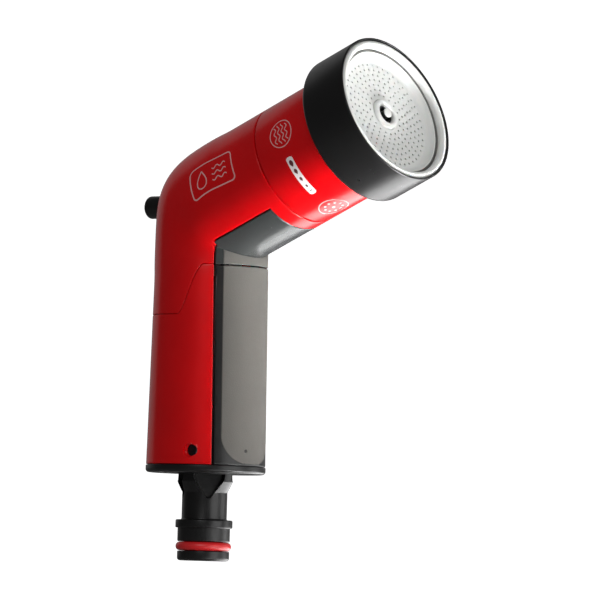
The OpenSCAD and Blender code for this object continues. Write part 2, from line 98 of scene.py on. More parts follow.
PIN_X, PIN_Z = 8.0, 33.2         # lever pivot
VALVE_Z = 82.0                   # axis of the valve spring
LATCH_Z = 108.4                  # axis of the latch knob
SCREW_CIRCLE_R = 12.4
SCREW_PLACES = [SCREW_CIRCLE_R * np.array([math.cos(turn), math.sin(turn), 0])
                for turn in map(math.radians, (115, 180, 245))]

X_AXIS, Y_AXIS, Z_AXIS = np.array([1.0, 0, 0]), np.array([0, 1.0, 0]), np.array([0, 0, 1.0])
ALONG = np.array([math.cos(TILT), 0, math.sin(TILT)])      # along the barrel
BELOW = np.array([math.sin(TILT), 0, -math.cos(TILT)])     # down, square to the barrel
ELBOW = np.array([0, 0, ELBOW_Z])
BALL_X = ELBOW_R - HANDLE_TOP_R
BALL_ALONG = (BALL_X + (BARREL_R - ELBOW_R) * math.sin(TILT)) / math.cos(TILT)
BALL_CENTRE = np.array([BALL_X, 0, ELBOW_Z + BALL_ALONG * math.sin(TILT)
                        + (BARREL_R - ELBOW_R) * math.cos(TILT)])

# The casings share one surface, addressed by (station, angle). The station runs up the handle,
# equal to z, then round the bend and along the barrel. The angle is 0 at the front of the
# handle and the underside of the barrel, and pi at the back and the top.
PIVOT = np.array([26.0, 0, 87.7])                          # the bend's sections turn about this
PIVOT_ALONG = (PIVOT - ELBOW) @ ALONG
PIVOT_BELOW = (PIVOT - ELBOW) @ BELOW
BEND_LENGTH = 31.0
BEND = math.pi / 2 - TILT
BARREL_STATION = PIVOT[2] + BEND_LENGTH                    # the straight barrel starts here
CREASE = PIVOT[2] + BEND_LENGTH * 28.7 / math.degrees(BEND)    # fold below the barrel

FIRST_STATION, LAST_STATION, STATION_STEP = 20.0, 132.0, 0.25
ANGLE_COUNT = 360


# ------------------------------------------------------------ common surface
def barrel_station(along):
    return BARREL_STATION + (along - PIVOT_ALONG)


def ease(x):
    x = np.clip(x, 0, 1)
    return x * x * (3 - 2 * x)


def handle_radius(z):
    return HANDLE_FOOT_R + (HANDLE_TOP_R - HANDLE_FOOT_R) * (z - FOOT_Z) / (ELBOW_Z - FOOT_Z)


def seam_height(x):
    return SEAM_BACK_Z + (SEAM_FRONT_Z - SEAM_BACK_Z) * ease((x - SEAM_RISE_X) / SEAM_RUN)


def seam_slope(x):
    part = np.clip((x - SEAM_RISE_X) / SEAM_RUN, 0, 1)
    return (SEAM_FRONT_Z - SEAM_BACK_Z) * 6 * part * (1 - part) / SEAM_RUN


def slot_half(station):
    """half width of the opening: narrower in the handle, wider under the barrel"""
    return SLOT_HALF + SLOT_GROWTH * ease((np.asarray(station, float) - (CREASE + 0.3)) / 1.2)


def section(station):
    """centre of the section, and its direction towards the pivot"""
    station = np.asarray(station, float)
    turn = np.clip((station - PIVOT[2]) / BEND_LENGTH, 0, 1) * BEND
    toward = np.stack([np.cos(turn), 0 * turn, -np.sin(turn)], -1)
    distance = PIVOT[0] + (PIVOT_BELOW - PIVOT[0]) * turn / BEND
    centre = PIVOT - distance[..., None] * toward
    centre = centre + np.minimum(station - PIVOT[2], 0)[..., None] * Z_AXIS
    centre = centre + np.maximum(station - BARREL_STATION, 0)[..., None] * ALONG
    return centre, toward


def union_distance(point):
    """signed distance to the union of handle, elbow ball and barrel, negative inside"""
    handle_r = np.hypot(point[..., 0], point[..., 1])
    to_handle = np.maximum(handle_r - handle_radius(point[..., 2]), point[..., 2] - ELBOW_Z)
    to_ball = np.linalg.norm(point - BALL_CENTRE, axis=-1) - ELBOW_R
    offset = point - ELBOW
    along = offset @ ALONG
    barrel_r = np.linalg.norm(offset - along[..., None] * ALONG, axis=-1)
    # the barrel starts behind the handle's axis and swells to its full radius
    start, full = -3, 7
    swell = np.interp(along, [start, full], [HANDLE_TOP_R + 0.3, BARREL_R])
    to_barrel = np.maximum(barrel_r - swell, start - along)
    return np.minimum(np.minimum(to_handle, to_ball), to_barrel)


def smooth_rows(radii, sigma):
    """Gaussian smoothing from station to station"""
    count = int(3 * sigma / STATION_STEP)
    kernel = np.exp(-0.5 * (np.arange(-count, count + 1) * STATION_STEP / sigma) ** 2)
    kernel /= kernel.sum()
    lead_in = (np.repeat(radii[:1], count, 0)
               + (radii[:1] - radii[1:2]) * np.arange(count, 0, -1)[:, None])
    padded = np.concatenate([lead_in, radii, np.repeat(radii[-1:], count, 0)], 0)
    out = np.zeros_like(radii)
    for i, weight in enumerate(kernel):
        out += weight * padded[i:i + len(radii)]
    return out


def build_radius_table():
    """radius of the surface at every station and angle"""
    stations = np.arange(FIRST_STATION, LAST_STATION + STATION_STEP / 2, STATION_STEP)
    angles = np.arange(ANGLE_COUNT) * 2 * math.pi / ANGLE_COUNT
    station, angle = np.meshgrid(stations, angles, indexing="ij")
    centre, toward = section(station)
    rays = np.cos(angle)[..., None] * toward + np.sin(angle)[..., None] * Y_AXIS
    radii = np.full(station.shape, 8.0)
    for _ in range(80):
        radii = radii - union_distance(centre + radii[..., None] * rays)
    # the crease at the front stays crisp, the sides and the back are blended
    from_front = np.degrees(np.minimum(angle, 2 * math.pi - angle))
    softness = ease((from_front - 40.0) / 22.0)
    soft = smooth_rows(smooth_rows(radii, 3.0), 2.0)
    return radii * (1 - softness) + soft * softness


RADII = build_radius_table()


def cubic_weights(x):
    """Catmull-Rom weights of four neighbours"""
    return [-0.5 * x + x ** 2 - 0.5 * x ** 3, 1 - 2.5 * x ** 2 + 1.5 * x ** 3,
            0.5 * x + 2 * x ** 2 - 1.5 * x ** 3, -0.5 * x ** 2 + 0.5 * x ** 3]


def radius_at(station, angle):
    row = (np.asarray(station, float) - FIRST_STATION) / STATION_STEP
    column = (np.asarray(angle, float) % (2 * math.pi)) / (2 * math.pi) * ANGLE_COUNT
    row = np.clip(row, 1, len(RADII) - 3)
    i, j = np.floor(row).astype(int), np.floor(column).astype(int)
    row_weights, column_weights = cubic_weights(row - i), cubic_weights(column - j)
    out = 0
    for m in range(4):
        for n in range(4):
            out = out + (row_weights[m] * column_weights[n]
                         * RADII[i + m - 1, (j + n - 1) % ANGLE_COUNT])
    return out


def surface(station, angle, lift=0.0):
    station, angle = np.broadcast_arrays(np.asarray(station, float), np.asarray(angle, float))
    centre, toward = section(station)
    radius = radius_at(station, angle) + lift
    ray = np.cos(angle)[..., None] * toward + np.sin(angle)[..., None] * Y_AXIS
    return centre + radius[..., None] * ray


def surface_normal(station, angle):
    step = 0.2
    turn = step / 20
    up_rows = surface(station + step, angle) - surface(station - step, angle)
    round_columns = surface(station, angle + turn) - surface(station, angle - turn)
    out = np.cross(round_columns, up_rows)
    return out / np.linalg.norm(out, axis=-1, keepdims=True)


def bisect(low, high, is_beyond, steps=44):
    for _ in range(steps):
        middle = (low + high) / 2
        beyond = is_beyond(middle)
        high = np.where(beyond, middle, high)
        low = np.where(beyond, low, middle)
    return (low + high) / 2


def angle_at_width(station, half):
    """angle at which the surface reaches |Y| = half, on the front half"""
    station = np.asarray(station, float)
    return bisect(np.zeros_like(station), np.full_like(station, math.pi / 2),
                  lambda angle: radius_at(station, angle) * np.sin(angle) > half, 40)


# In the next two, across (-1 to 1) picks a column and angle_of(across, station) is its angle.
def station_at_height(z, angle_of, across):
    """station at which a column of a front piece reaches height z"""
    z, across = np.broadcast_arrays(np.asarray(z, float), np.asarray(across, float))
    station = z.copy()
    for _ in range(24):
        point = surface(station, angle_of(across, station))
        station = station + (z - point[..., 2]) * np.where(station > PIVOT[2], 1.9, 1.0)
    return station


def station_at_seam(across, angle_of, offset):
    """station at which a column crosses the seam moved by offset, square to the seam"""
    def is_above(station):
        point = surface(station, angle_of(across, station))
        slope = seam_slope(point[..., 0]) * np.abs(point[..., 1]) / 17.3
        return point[..., 2] > seam_height(point[..., 0]) + offset * np.sqrt(1 + slope ** 2)
    return bisect(np.full_like(across, 60.0), np.full_like(across, CREASE - 1), is_above)


# ------------------------------------------------------------ mesh helpers
def new_obj(name, verts, faces, scale=MM):
    mesh = bpy.data.meshes.new(name)
    mesh.from_pydata((np.asarray(verts) * scale).tolist(), [], faces)
    mesh.validate()
    mesh.update()
    ob = bpy.data.objects.new(name, mesh)
    bpy.context.scene.collection.objects.link(ob)
    return ob


def finish_mesh(ob, sharp=32, merge=1e-7):
    """merge doubles, turn faces outwards, shade smooth except at edges over sharp degrees"""
    bm = bmesh.new()
    bm.from_mesh(ob.data)
    if merge:
        bmesh.ops.remove_doubles(bm, verts=bm.verts, dist=merge)
    bmesh.ops.recalc_face_normals(bm, faces=bm.faces)
    for face in bm.faces:
        face.smooth = True
    for edge in bm.edges:
        if len(edge.link_faces) == 2:
            edge.smooth = edge.calc_face_angle(0) < math.radians(sharp)
    bm.to_mesh(ob.data)
    bm.free()
    return ob


def join(ob, parts):
    """take the parts' meshes into ob"""
    bm = bmesh.new()
    bm.from_mesh(ob.data)
    for part in parts:
        bm.from_mesh(part.data)
        bpy.data.objects.remove(part)
    bm.to_mesh(ob.data)
    bm.free()
    return finish_mesh(ob)


def cut(ob, cutters):
    for cutter in cutters:
        mod = ob.modifiers.new("cut", "BOOLEAN")
        mod.object = cutter
        mod.operation = "DIFFERENCE"
        mod.solver = "EXACT"
        with bpy.context.temp_override(object=ob, active_object=ob, selected_objects=[ob]):
            bpy.context.view_layer.objects.active = ob
            bpy.ops.object.modifier_apply(modifier=mod.name)
        bpy.data.objects.remove(cutter)


def unit(vector):
    return vector / max(np.linalg.norm(vector), 1e-9)


def thicken(points, faces, normals, edge_r, depth):
    """closed shell from an open quad mesh: rounded rim of radius edge_r, wall and inner skin"""
    rim_steps = 4
    edges = dict.fromkeys((face[i], face[(i + 1) % len(face)])
                          for face in faces for i in range(len(face)))
    border = [edge for edge in edges if edge[::-1] not in edges]
    following = dict(border)
    previous = {b: a for a, b in border}
    rim = sorted(following)
    outward = []
    for v in rim:
        first = unit(np.cross(points[v] - points[previous[v]], normals[v]))
        second = unit(np.cross(points[following[v]] - points[v], normals[v]))
        middle = unit(first + second)
        outward.append(middle / max(middle @ first, 0.5))
    outward = np.array(outward)
    rim_points, rim_normals = points[rim], normals[rim]

    layers = [points]
    rings = [dict(zip(rim, rim))]

    def add_ring(out, down):
        start = sum(len(layer) for layer in layers)
        layers.append(rim_points + out * outward - down * rim_normals)
        rings.append({v: start + i for i, v in enumerate(rim)})

    for k in range(1, rim_steps + 1):
        turn = k / rim_steps * math.pi / 2
        add_ring(edge_r * math.sin(turn), edge_r * (1 - math.cos(turn)))
    add_ring(edge_r, depth - edge_r * 0.6)
    add_ring(edge_r * 0.4, depth)
    inner = sum(len(layer) for layer in layers)
    layers.append(points - depth * normals)

    out_faces = [tuple(face) for face in faces]
    for a, b in border:
        for upper, lower in zip(rings[:-1], rings[1:]):
            out_faces.append((upper[b], upper[a], lower[a], lower[b]))
        last = rings[-1]
        out_faces.append((last[b], last[a], inner + a, inner + b))
    out_faces += [tuple(inner + i for i in reversed(face)) for face in faces]
    return np.concatenate(layers), out_faces


def grid_faces(rows, columns):
    faces = []
    for i in range(rows - 1):
        for j in range(columns - 1):
            low, high = i * columns + j, (i + 1) * columns + j
            faces.append((low, low + 1, high + 1, high))
    return faces


def surface_shell(station, angle, edge_r, depth, lift=0.0):
    """vertices and faces of a shell that follows the common surface, lifted off it by lift"""
    normals = surface_normal(station, angle)
    points = surface(station, angle) + lift * normals
    return thicken(points.reshape(-1, 3), grid_faces(*station.shape),
                   normals.reshape(-1, 3), edge_r, depth)


def fillet(corners, steps=5):
    """round a closed 2D profile; each corner is (x, y, radius)"""
    points = [np.array(corner[:2], float) for corner in corners]
    out = []
    for i, point in enumerate(points):
        radius = corners[i][2]
        if radius <= 0:
            out.append(point)
            continue
        back, ahead = points[i - 1] - point, points[(i + 1) % len(points)] - point
        back_length, ahead_length = np.linalg.norm(back), np.linalg.norm(ahead)
        back, ahead = back / back_length, ahead / ahead_length
        half = math.acos(np.clip(back @ ahead, -1, 1)) / 2
        tangent = radius / math.tan(half)
        tangent = min(tangent, back_length * 0.49, ahead_length * 0.49)
        radius = tangent * math.tan(half)
        bisector = (back + ahead) / np.linalg.norm(back + ahead)
        centre = point + bisector * (radius / math.sin(half))
        first, last = point + back * tangent - centre, point + ahead * tangent - centre
        first_turn = math.atan2(first[1], first[0])
        sweep = math.atan2(last[1], last[0]) - first_turn
        sweep = (sweep + math.pi) % (2 * math.pi) - math.pi
        for k in range(steps + 1):
            turn = first_turn + sweep * k / steps
            out.append(centre + radius * np.array([math.cos(turn), math.sin(turn)]))
    return out


# Local axes are tuples of origin, x, y and z direction.
BARREL = (ELBOW, BELOW, Y_AXIS, ALONG)
UPRIGHT = (np.zeros(3), X_AXIS, Y_AXIS, Z_AXIS)


def along_x(z, y=0.0):
    return (np.array([0, y, z]), -Z_AXIS, Y_AXIS, X_AXIS)


def along_y(x, z):
    return (np.array([x, 0, z]), X_AXIS, -Z_AXIS, Y_AXIS)


def reverse_z(axes):
    return axes[:3] + (-axes[3],)


PIN_AXES = along_y(PIN_X, PIN_Z)
LATCH_AXES = along_x(LATCH_Z)


def revolve(name, profile, axes, around):
    """closed profile of (radius, z) turned about local z; a point on the axis is one vertex"""
    origin, x_dir, y_dir, z_dir = axes
    verts, faces, rings = [], [], []
    for radius, z in profile:
        if radius < 1e-6:
            rings.append([len(verts)] * around)
            verts.append(origin + z * z_dir)
            continue
        rings.append(list(range(len(verts), len(verts) + around)))
        for turn in np.arange(around) * 2 * math.pi / around:
            ray = math.cos(turn) * x_dir + math.sin(turn) * y_dir
            verts.append(origin + radius * ray + z * z_dir)
    for i, ring in enumerate(rings):
        after = rings[(i + 1) % len(rings)]
        if ring[0] == ring[1] and after[0] == after[1]:
            continue
        for j in range(around):
            k = (j + 1) % around
            # dict.fromkeys drops the repeated vertex at the axis
            faces.append(tuple(dict.fromkeys((ring[j], ring[k], after[k], after[j]))))
    return finish_mesh(new_obj(name, verts, faces))


def turned(name, corners, axes=BARREL, around=180, steps=5):
    """turned part from a profile of (radius, z, corner radius)"""
    return revolve(name, fillet(corners, steps), axes, around)


def tube(name, inner, outer, z0, z1, axes=UPRIGHT, around=96, corner=0.15):
    corners = [(inner, z0, corner), (outer, z0, corner), (outer, z1, corner), (inner, z1, corner)]
    return turned(name, corners, axes, around, steps=2)


def flared_cutter(radius, start, end, mouth, flare, axes, around=96):
    """rod that flares at the mouth, so that the hole's edge is eased"""
    profile = [(0, start), (radius, start), (radius, mouth - flare)]
    for k in range(1, 6):
        turn = k / 5 * math.pi / 2
        profile.append((radius + flare * (1 - math.cos(turn)),
                        mouth - flare + flare * math.sin(turn)))
    wide = radius + flare + 0.4
    profile += [(wide, mouth + 0.4), (wide, end + 3), (0, end + 3)]
    return revolve("cutter", profile, axes, around)


def block(name, x_span, y_span, z_span, axes=UPRIGHT):
    origin, x_dir, y_dir, z_dir = axes
    verts = [origin + x * x_dir + y * y_dir + z * z_dir
             for x in x_span for y in y_span for z in z_span]
    faces = [(0, 1, 3, 2), (4, 6, 7, 5), (0, 4, 5, 1), (2, 3, 7, 6), (0, 2, 6, 4), (1, 5, 7, 3)]
    return finish_mesh(new_obj(name, verts, faces))


def front_cutter(x_from, z_from, z_to):
    """removes everything in front of x_from between two heights"""
    return block("cutter", (x_from, 30), (-30, 30), (z_from, z_to))


# ------------------------------------------------------------ casings
def build_body_shell():
    """elbow and barrel casing: open at the front below, a full ring ahead of the trim"""
    def angle_of(across, station):
        half = slot_half(station) + CASING_EDGE_R
        return math.pi + across * (math.pi - angle_at_width(station, half))

    across = np.linspace(-1, 1, CASING_COLUMNS)
    rows, ring_rows, bridge = 130, 10, 60
    seam_station = station_at_seam(across, angle_of, GAP + CASING_EDGE_R)
    ring_start = barrel_station(TRIM_END + CASING_EDGE_R)
    ring_end = barrel_station(BODY_END - CASING_EDGE_R)
    part = np.linspace(0, 1, rows)[:, None]
    station = seam_station[None, :] + (ring_start - seam_station[None, :]) * part
    angle = angle_of(across, station)
    points = [surface(station, angle).reshape(-1, 3)]
    normals = [surface_normal(station, angle).reshape(-1, 3)]
    faces = grid_faces(rows, CASING_COLUMNS)

    def add_row(row_station, row_angles):
        """append one row and give its vertex numbers"""
        start = sum(len(layer) for layer in points)
        stations = np.full(len(row_angles), row_station)
        points.append(surface(stations, row_angles))
        normals.append(surface_normal(stations, row_angles))
        return list(range(start, start + len(row_angles)))

    # vertices that bridge the opening close the last row to a ring
    edge_angles = angle[-1]
    bridge_angles = np.linspace(edge_angles[-1], edge_angles[0] + 2 * math.pi, bridge + 2)[1:-1]
    ring_angles = np.concatenate([edge_angles, bridge_angles])
    row = list(range((rows - 1) * CASING_COLUMNS, rows * CASING_COLUMNS))
    row += add_row(ring_start, bridge_angles)
    for k in range(1, ring_rows):
        row_station = ring_start + (ring_end - ring_start) * k / (ring_rows - 1)
        after = add_row(row_station, ring_angles)
        for j in range(len(row)):
            m = (j + 1) % len(row)
            faces.append((row[j], row[m], after[m], after[j]))
        row = after
    shell = thicken(np.concatenate(points), faces, np.concatenate(normals),
                    CASING_EDGE_R, CASING_WALL)
    casing = finish_mesh(new_obj("body_casing", *shell))

    # hole for the latch knob in the back, with a guide sleeve inside it
    backwards = reverse_z(LATCH_AXES)
    bore = 3.65
    cut(casing, [flared_cutter(bore, start=8, end=22, mouth=17.0, flare=0.3, axes=backwards)])
    sleeve = turned("sleeve", [(bore, 15.4, 0.12), (5.2, 15.4, 0.12), (5.2, 8.5, 0.12),
                               (2.05, 8.5, 0.12), (2.05, 10.0, 0.12), (bore, 10.0, 0.12)],
                    backwards, 72, steps=2)
    # stepped lip that locates the handle casing, only at the back
    lip = turned("lip", [(13.6, 70, 0.15), (14.85, 70, 0.15), (14.85, 75.2, 0.15),
                         (15.3, 75.2, 0.15), (15.3, 80, 0.15), (13.6, 80, 0.15)],
                 UPRIGHT, 120, steps=2)
    cut(lip, [front_cutter(-2, 60, 90)])
    cut(casing, [notch_cutter()])
    return join(casing, [sleeve, lip])


def notch_cutter():
    """shallow triangle on top of the barrel, pointing at the head"""
    depth, setback = 0.45, 3.5
    origin = ELBOW + ALONG * (BODY_END - setback) - BELOW * (BARREL_R - depth)
    verts = []
    for lift, widen in ((0, 1.0), (2.0, 1.315)):
        for x, y in ((-1.1, -1.7), (-1.1, 1.7), (2.3, 0)):
            verts.append(origin + ALONG * x * widen + Y_AXIS * y * widen - BELOW * lift)
    faces = [(0, 1, 2), (5, 4, 3), (0, 3, 4, 1), (1, 4, 5, 2), (2, 5, 3, 0)]
    return finish_mesh(new_obj("notch", verts, faces))


def build_handle_shell():
    def angle_of(across, station):
        half = SLOT_HALF + CASING_EDGE_R
        return math.pi + across * (math.pi - angle_at_width(station, half))

    across = np.linspace(-1, 1, CASING_COLUMNS)
    top = station_at_seam(across, angle_of, -(GAP + CASING_EDGE_R))
    bottom = FOOT_Z + 0.02 + CASING_EDGE_R
    station = bottom + (top[None, :] - bottom) * np.linspace(0, 1, 90)[:, None]
    verts, faces = surface_shell(station, angle_of(across, station), CASING_EDGE_R, CASING_WALL)
    # the opening's side walls run straight back, so that the lever can move between them
    beside_slot = (verts[:, 0] > 3) & (np.abs(verts[:, 1]) < SLOT_HALF)
    verts[beside_slot, 1] = np.sign(verts[beside_slot, 1]) * SLOT_HALF
    casing = finish_mesh(new_obj("handle_casing", verts, faces))
    for axes in (PIN_AXES, reverse_z(PIN_AXES)):
        cut(casing, [flared_cutter(1.77, start=5, end=18, mouth=16.1, flare=0.05, axes=axes)])
    floor = tube("floor", 5.9, 16.4, 31, 33)
    cut(floor, [front_cutter(4, 20, 50)])
    bosses = [tube("boss", 1.25, 2.9, 30.95, 40.5, (place,) + UPRIGHT[1:], 48)
              for place in SCREW_PLACES]
    return join(casing, [floor] + bosses)


# ------------------------------------------------------------ front pieces
def stations_around(first, last, focus, fine, coarse):
    """station list from first to last, closer together near focus"""
    out = [first]
    while out[-1] < last - 1e-6:
        step = fine if abs(out[-1] - focus) < 1.6 else coarse
        out.append(min(last, out[-1] + step))
    return np.array(out)


def build_trim():
    """black strip that fills the opening under the barrel, up from the seam"""
    clearance, edge_r, columns = 0.16, 0.28, 71

    def angle_of(across, station):
        half = slot_half(station) - clearance - edge_r
        return across * angle_at_width(station, half)

    across = np.linspace(-1, 1, columns)
    # the first row follows the level seam; the rows straighten out before the crease
    first = station_at_height(SEAM_FRONT_Z + GAP + edge_r, angle_of, across)
    rows = stations_around(first.min(), barrel_station(TRIM_END - clearance - edge_r),
                           focus=CREASE, fine=0.16, coarse=0.6)
    fade = np.clip(1 - (rows - rows[0]) / (CREASE - 2.2 - rows[0]), 0, 1)
    station = rows[:, None] + (first - rows[0])[None, :] * fade[:, None]
    shell = surface_shell(station, angle_of(across, station), edge_r, 2.0)
    return finish_mesh(new_obj("barrel_underside_trim", *shell))


def build_trim_patch():
    """grey patch between the seam and the crease under the barrel"""
    edge_r, lift, sink, bottom_z, crease_gap = 0.22, 0.10, 0.4, 89.86, 0.55

    def angle_of(across, station):
        return across * angle_at_width(station, PAD_HALF - edge_r)

    def is_above(station):
        return surface(station, angle_of(across, station))[..., 2] > bottom_z + edge_r

    across = np.linspace(-1, 1, 61)
    # the lowest row follows a level line
    first = bisect(np.full_like(across, 86.0), np.full_like(across, CREASE - 1), is_above)
    last = CREASE - crease_gap - edge_r
    part = np.linspace(0, 1, 36)[:, None]
    station = first[None, :] + (last - first[None, :]) * part
    shell = surface_shell(station, angle_of(across, station), edge_r, lift + sink, lift)
    return finish_mesh(new_obj("trim_patch", *shell))


def build_lever():
    """squeeze lever in the handle's opening, with side walls, pivot ears, hooks and a nose"""
    edge_r, half, bottom, top = 0.3, 12.2, 29.04, 89.35

    def angle_of(across, station):
        return across * angle_at_width(station, half - edge_r)

    across = np.linspace(-1, 1, 61)
    heights = np.linspace(bottom + edge_r, top - edge_r, 100)[:, None]
    station = station_at_height(heights, angle_of, across)
    shell = surface_shell(station, angle_of(across, station), edge_r, 2.2)
    lever = finish_mesh(new_obj("squeeze_lever", *shell))
    parts = []
    for side in (1, -1):
        wall = sorted((side * 10.4, side * 12.15))
        ear = sorted((side * 9.6, side * 12.15))
        hook = sorted((side * 6, side * 8.2))
        parts += [
            # the side wall stays clear of the pin
            block("side", (6, 12.6), wall, (35.4, 86)),
            block("side_foot", (10.1, 12.6), wall, (29.3, 35.6)),
            tube("ear", 1.8, 3.7, *ear, PIN_AXES, 72, corner=0.12),
            block("hook", (10.6, 12.2), hook, (80, 93)),
            block("hook_root", (10.6, 13.6), hook, (80, 86)),
        ]
    parts.append(turned("nose", [(0, 13.0, 0), (1.6, 13.45, 0.8), (2.9, 15.0, 0.5),
                                 (2.9, 15.8, 0.1), (0, 15.8, 0)],
                        along_x(VALVE_Z), 48, steps=4))
    return join(lever, parts)


def rounded_half_width(z, bottom, top, half, lower_r, upper_r):
    """half width at height z of an outline with rounded lower and upper corners"""
    low = np.clip((bottom + lower_r - z) / lower_r, 0, 1)
    high = np.clip((z - (top - upper_r)) / upper_r, 0, 1)
    return half - lower_r * (1 - np.sqrt(1 - low ** 2)) - upper_r * (1 - np.sqrt(1 - high ** 2))


def build_pad():
    """thin grip pad on the lever, standing proud of it"""
    bottom, top = 29.5, 89.4
    lower_r, upper_r, edge_r = 8.3, 0.5, 0.25
    lift, sink = 0.14, 0.4
    part = 0.5 - 0.5 * np.cos(math.pi * np.linspace(0, 1, 120))
    heights = bottom + edge_r + (top - bottom - 2 * edge_r) * part
    heights[0] += 0.02
    half = rounded_half_width(heights, bottom + edge_r * 0.98, top - edge_r * 0.98,
                              PAD_HALF - edge_r, lower_r - edge_r, upper_r - edge_r)
    half = np.maximum(half, 0.3)[:, None]

    def angle_of(across, station):
        return across * angle_at_width(station, half)

    across = np.linspace(-1, 1, 61)
    station = station_at_height(heights[:, None], angle_of, across)
    shell = surface_shell(station, angle_of(across, station), edge_r, lift + sink, lift)
    pad = finish_mesh(new_obj("grip_pad", *shell))
    # small moulding dimple near the foot: (radius, x)
    dimple = [(0, 17.74), (0.3, 17.78), (0.48, 17.9), (0.56, 18.05), (0.66, 18.16), (0.8, 18.5),
              (0, 18.5)]
    cut(pad, [revolve("dimple", dimple, along_x(33.4, y=-2.6), 40)])
    return finish_mesh(pad)


body = build_body_shell()
handle = build_handle_shell()
trim = build_trim()
trim_patch = build_trim_patch()
lever = build_lever()
pad = build_pad()
for ob, replaced in ((body, "body_shell"), (handle, "handle_shell"), (trim, "barrel_trim"),
                     (trim_patch, "trim_pad"), (lever, "trigger_lever"), (pad, "trigger_pad")):
    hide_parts(replaced)
for ob in (body, handle, trim, trim_patch):
    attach(ob, "gun_body")
for ob in (lever, pad):
    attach(ob, "trigger")


# ------------------------------------------------------------ spray head and latch knob
# Profile rows are (radius, z along the part's axis, corner radius).
def build_jet_nozzle():
    """pale tube in the middle of the head, with the tip of the core"""
    nozzle = turned("jet_tube", [
        (6.05, 42.4, 0.1), (7.4, 42.4, 0.2), (7.4, 50.5, 0.6), (4.9, 55, 0.6),
        (4.9, 73.45, 0.85), (2.9, 73.45, 0.8), (2.9, 56, 0.3), (6.05, 51, 0.3),
    ], around=144, steps=8)
    tip = turned("tip", [(0, 73.3, 0), (1.48, 73.3, 0.15), (1.48, 73.95, 0.35), (0, 73.95, 0)],
                 around=72, steps=7)
    return join(nozzle, [tip])


def build_jet_bore_shade():
    """black sleeve in the jet tube, with a core held by three spokes; sleeve and core are black
    as painted shade for the dark inside of the bore
    """
    bore_shade = turned("jet_bore_shade", [(2.4, 61.5, 0.05), (2.85, 61.5, 0.05), (2.85, 72.4, 0.1),
                                 (2.4, 72.4, 0.2)], around=96, steps=6)
    parts = [turned("core", [(0, 58, 0), (1.3, 58, 0.2), (1.3, 73.4, 0.1), (0, 73.4, 0)],
                    around=72, steps=4)]
    for turn in map(math.radians, (30, 150, 270)):
        ray = math.cos(turn) * BELOW + math.sin(turn) * Y_AXIS
        square = -math.sin(turn) * BELOW + math.cos(turn) * Y_AXIS
        axes = (ELBOW, ray, square, ALONG)
        parts.append(block("spoke", (1.0, 3.1), (-0.4, 0.4), (58, 61), axes))
    return join(bore_shade, parts)


collar = turned("turning_collar", [
    (15.9, 36.1, 0.05), (16.85, 36.1, 0.05), (16.85, 36.75, 0.05), (BARREL_R, 36.75, 0.4),
    (BARREL_R, 59.9, 0.2), (17.2, 59.9, 0.1), (17.2, 42, 0.2), (12, 42, 0.2), (12, 39.4, 0.2),
    (15.9, 39.4, 0.1),
])
bezel = turned("bezel_ring", [
    (16, 51, 0.1), (17.1, 51, 0.1), (17.1, 59.95, 0.15), (BEZEL_R, 59.95, 1.5),
    (BEZEL_R, HEAD_END, 0.4), (22.7, HEAD_END, 0.15), (22.7, 67, 0.1), (18.6, 67, 0.1),
    (16, 64.4, 0.3),
], around=240, steps=8)
nozzle = build_jet_nozzle()
bore_shade = build_jet_bore_shade()
# dark grey ring in the groove inside the rim: painted shade for the shadow between the rim and
# the spray plate
groove_shade_ring = turned("rim_groove_shade", [(19.8, 73.55, 0.05), (20.45, 73.55, 0.05), (20.45, 74.9, 0.25),
                               (19.8, 74.9, 0.25)], around=200)
knob = turned("latch_knob", [
    (0, -25.9, 0), (2.4, -25.75, 1.6), (3.5, -25.1, 0.7), (3.5, -17.0, 0.2), (2.0, -17.0, 0.2),
    (2.0, -5.2, 0.3), (0, -5.2, 0),
], LATCH_AXES, 96, steps=7)
for ob, replaced in ((collar, "head_collar"), (bezel, "head_bezel"), (nozzle, "jet_nozzle"),
                     (bore_shade, "jet_sleeve"), (groove_shade_ring, "face_gasket"), (knob, "lock_button")):
    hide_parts(replaced)
for ob in (collar, bezel, nozzle, bore_shade, groove_shade_ring):
    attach(ob, "spray_head")
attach(knob, "latch")


# ------------------------------------------------------------ springs
def coil(name, radius, wire, z0, z1, axes):
    """compression spring of wire radius wire, with a closed turn at each end"""
    turns, steps, sides = 5, 40, 14
    closed_pitch = 2.1 * wire
    origin, x_dir, y_dir, z_dir = axes
    span = z1 - z0 - 2 * wire
    count = turns * steps
    verts = []
    for i in range(count + 1):
        part = i / count
        if part < 1 / turns:
            rise = part * turns * closed_pitch
        elif part > 1 - 1 / turns:
            rise = span - (1 - part) * turns * closed_pitch
        else:
            open_part = (part * turns - 1) / (turns - 2)
            rise = closed_pitch + open_part * (span - 2 * closed_pitch)
        turn = 2 * math.pi * i / steps
        ray = math.cos(turn) * x_dir + math.sin(turn) * y_dir
        for k in range(sides):
            around = 2 * math.pi * k / sides
            verts.append(origin + (radius + wire * math.cos(around)) * ray
                         + (z0 + wire + rise + wire * math.sin(around)) * z_dir)
    faces = [tuple(range(sides)),
             tuple(count * sides + k for k in range(sides - 1, -1, -1))]
    for i in range(count):
        for k in range(sides):
            m = (k + 1) % sides
            low, high = i * sides, (i + 1) * sides
            faces.append((low + k, high + k, high + m, low + m))
    return finish_mesh(new_obj(name, verts, faces), sharp=60)


# x of the end that stays put, free length, and how far the moving end travels
VALVE_FIXED_X, VALVE_FREE, VALVE_TRAVEL = -8.57, 6.34, 3.86
LATCH_FIXED_X, LATCH_FREE, LATCH_TRAVEL = -10.03, 6.94, 3.91

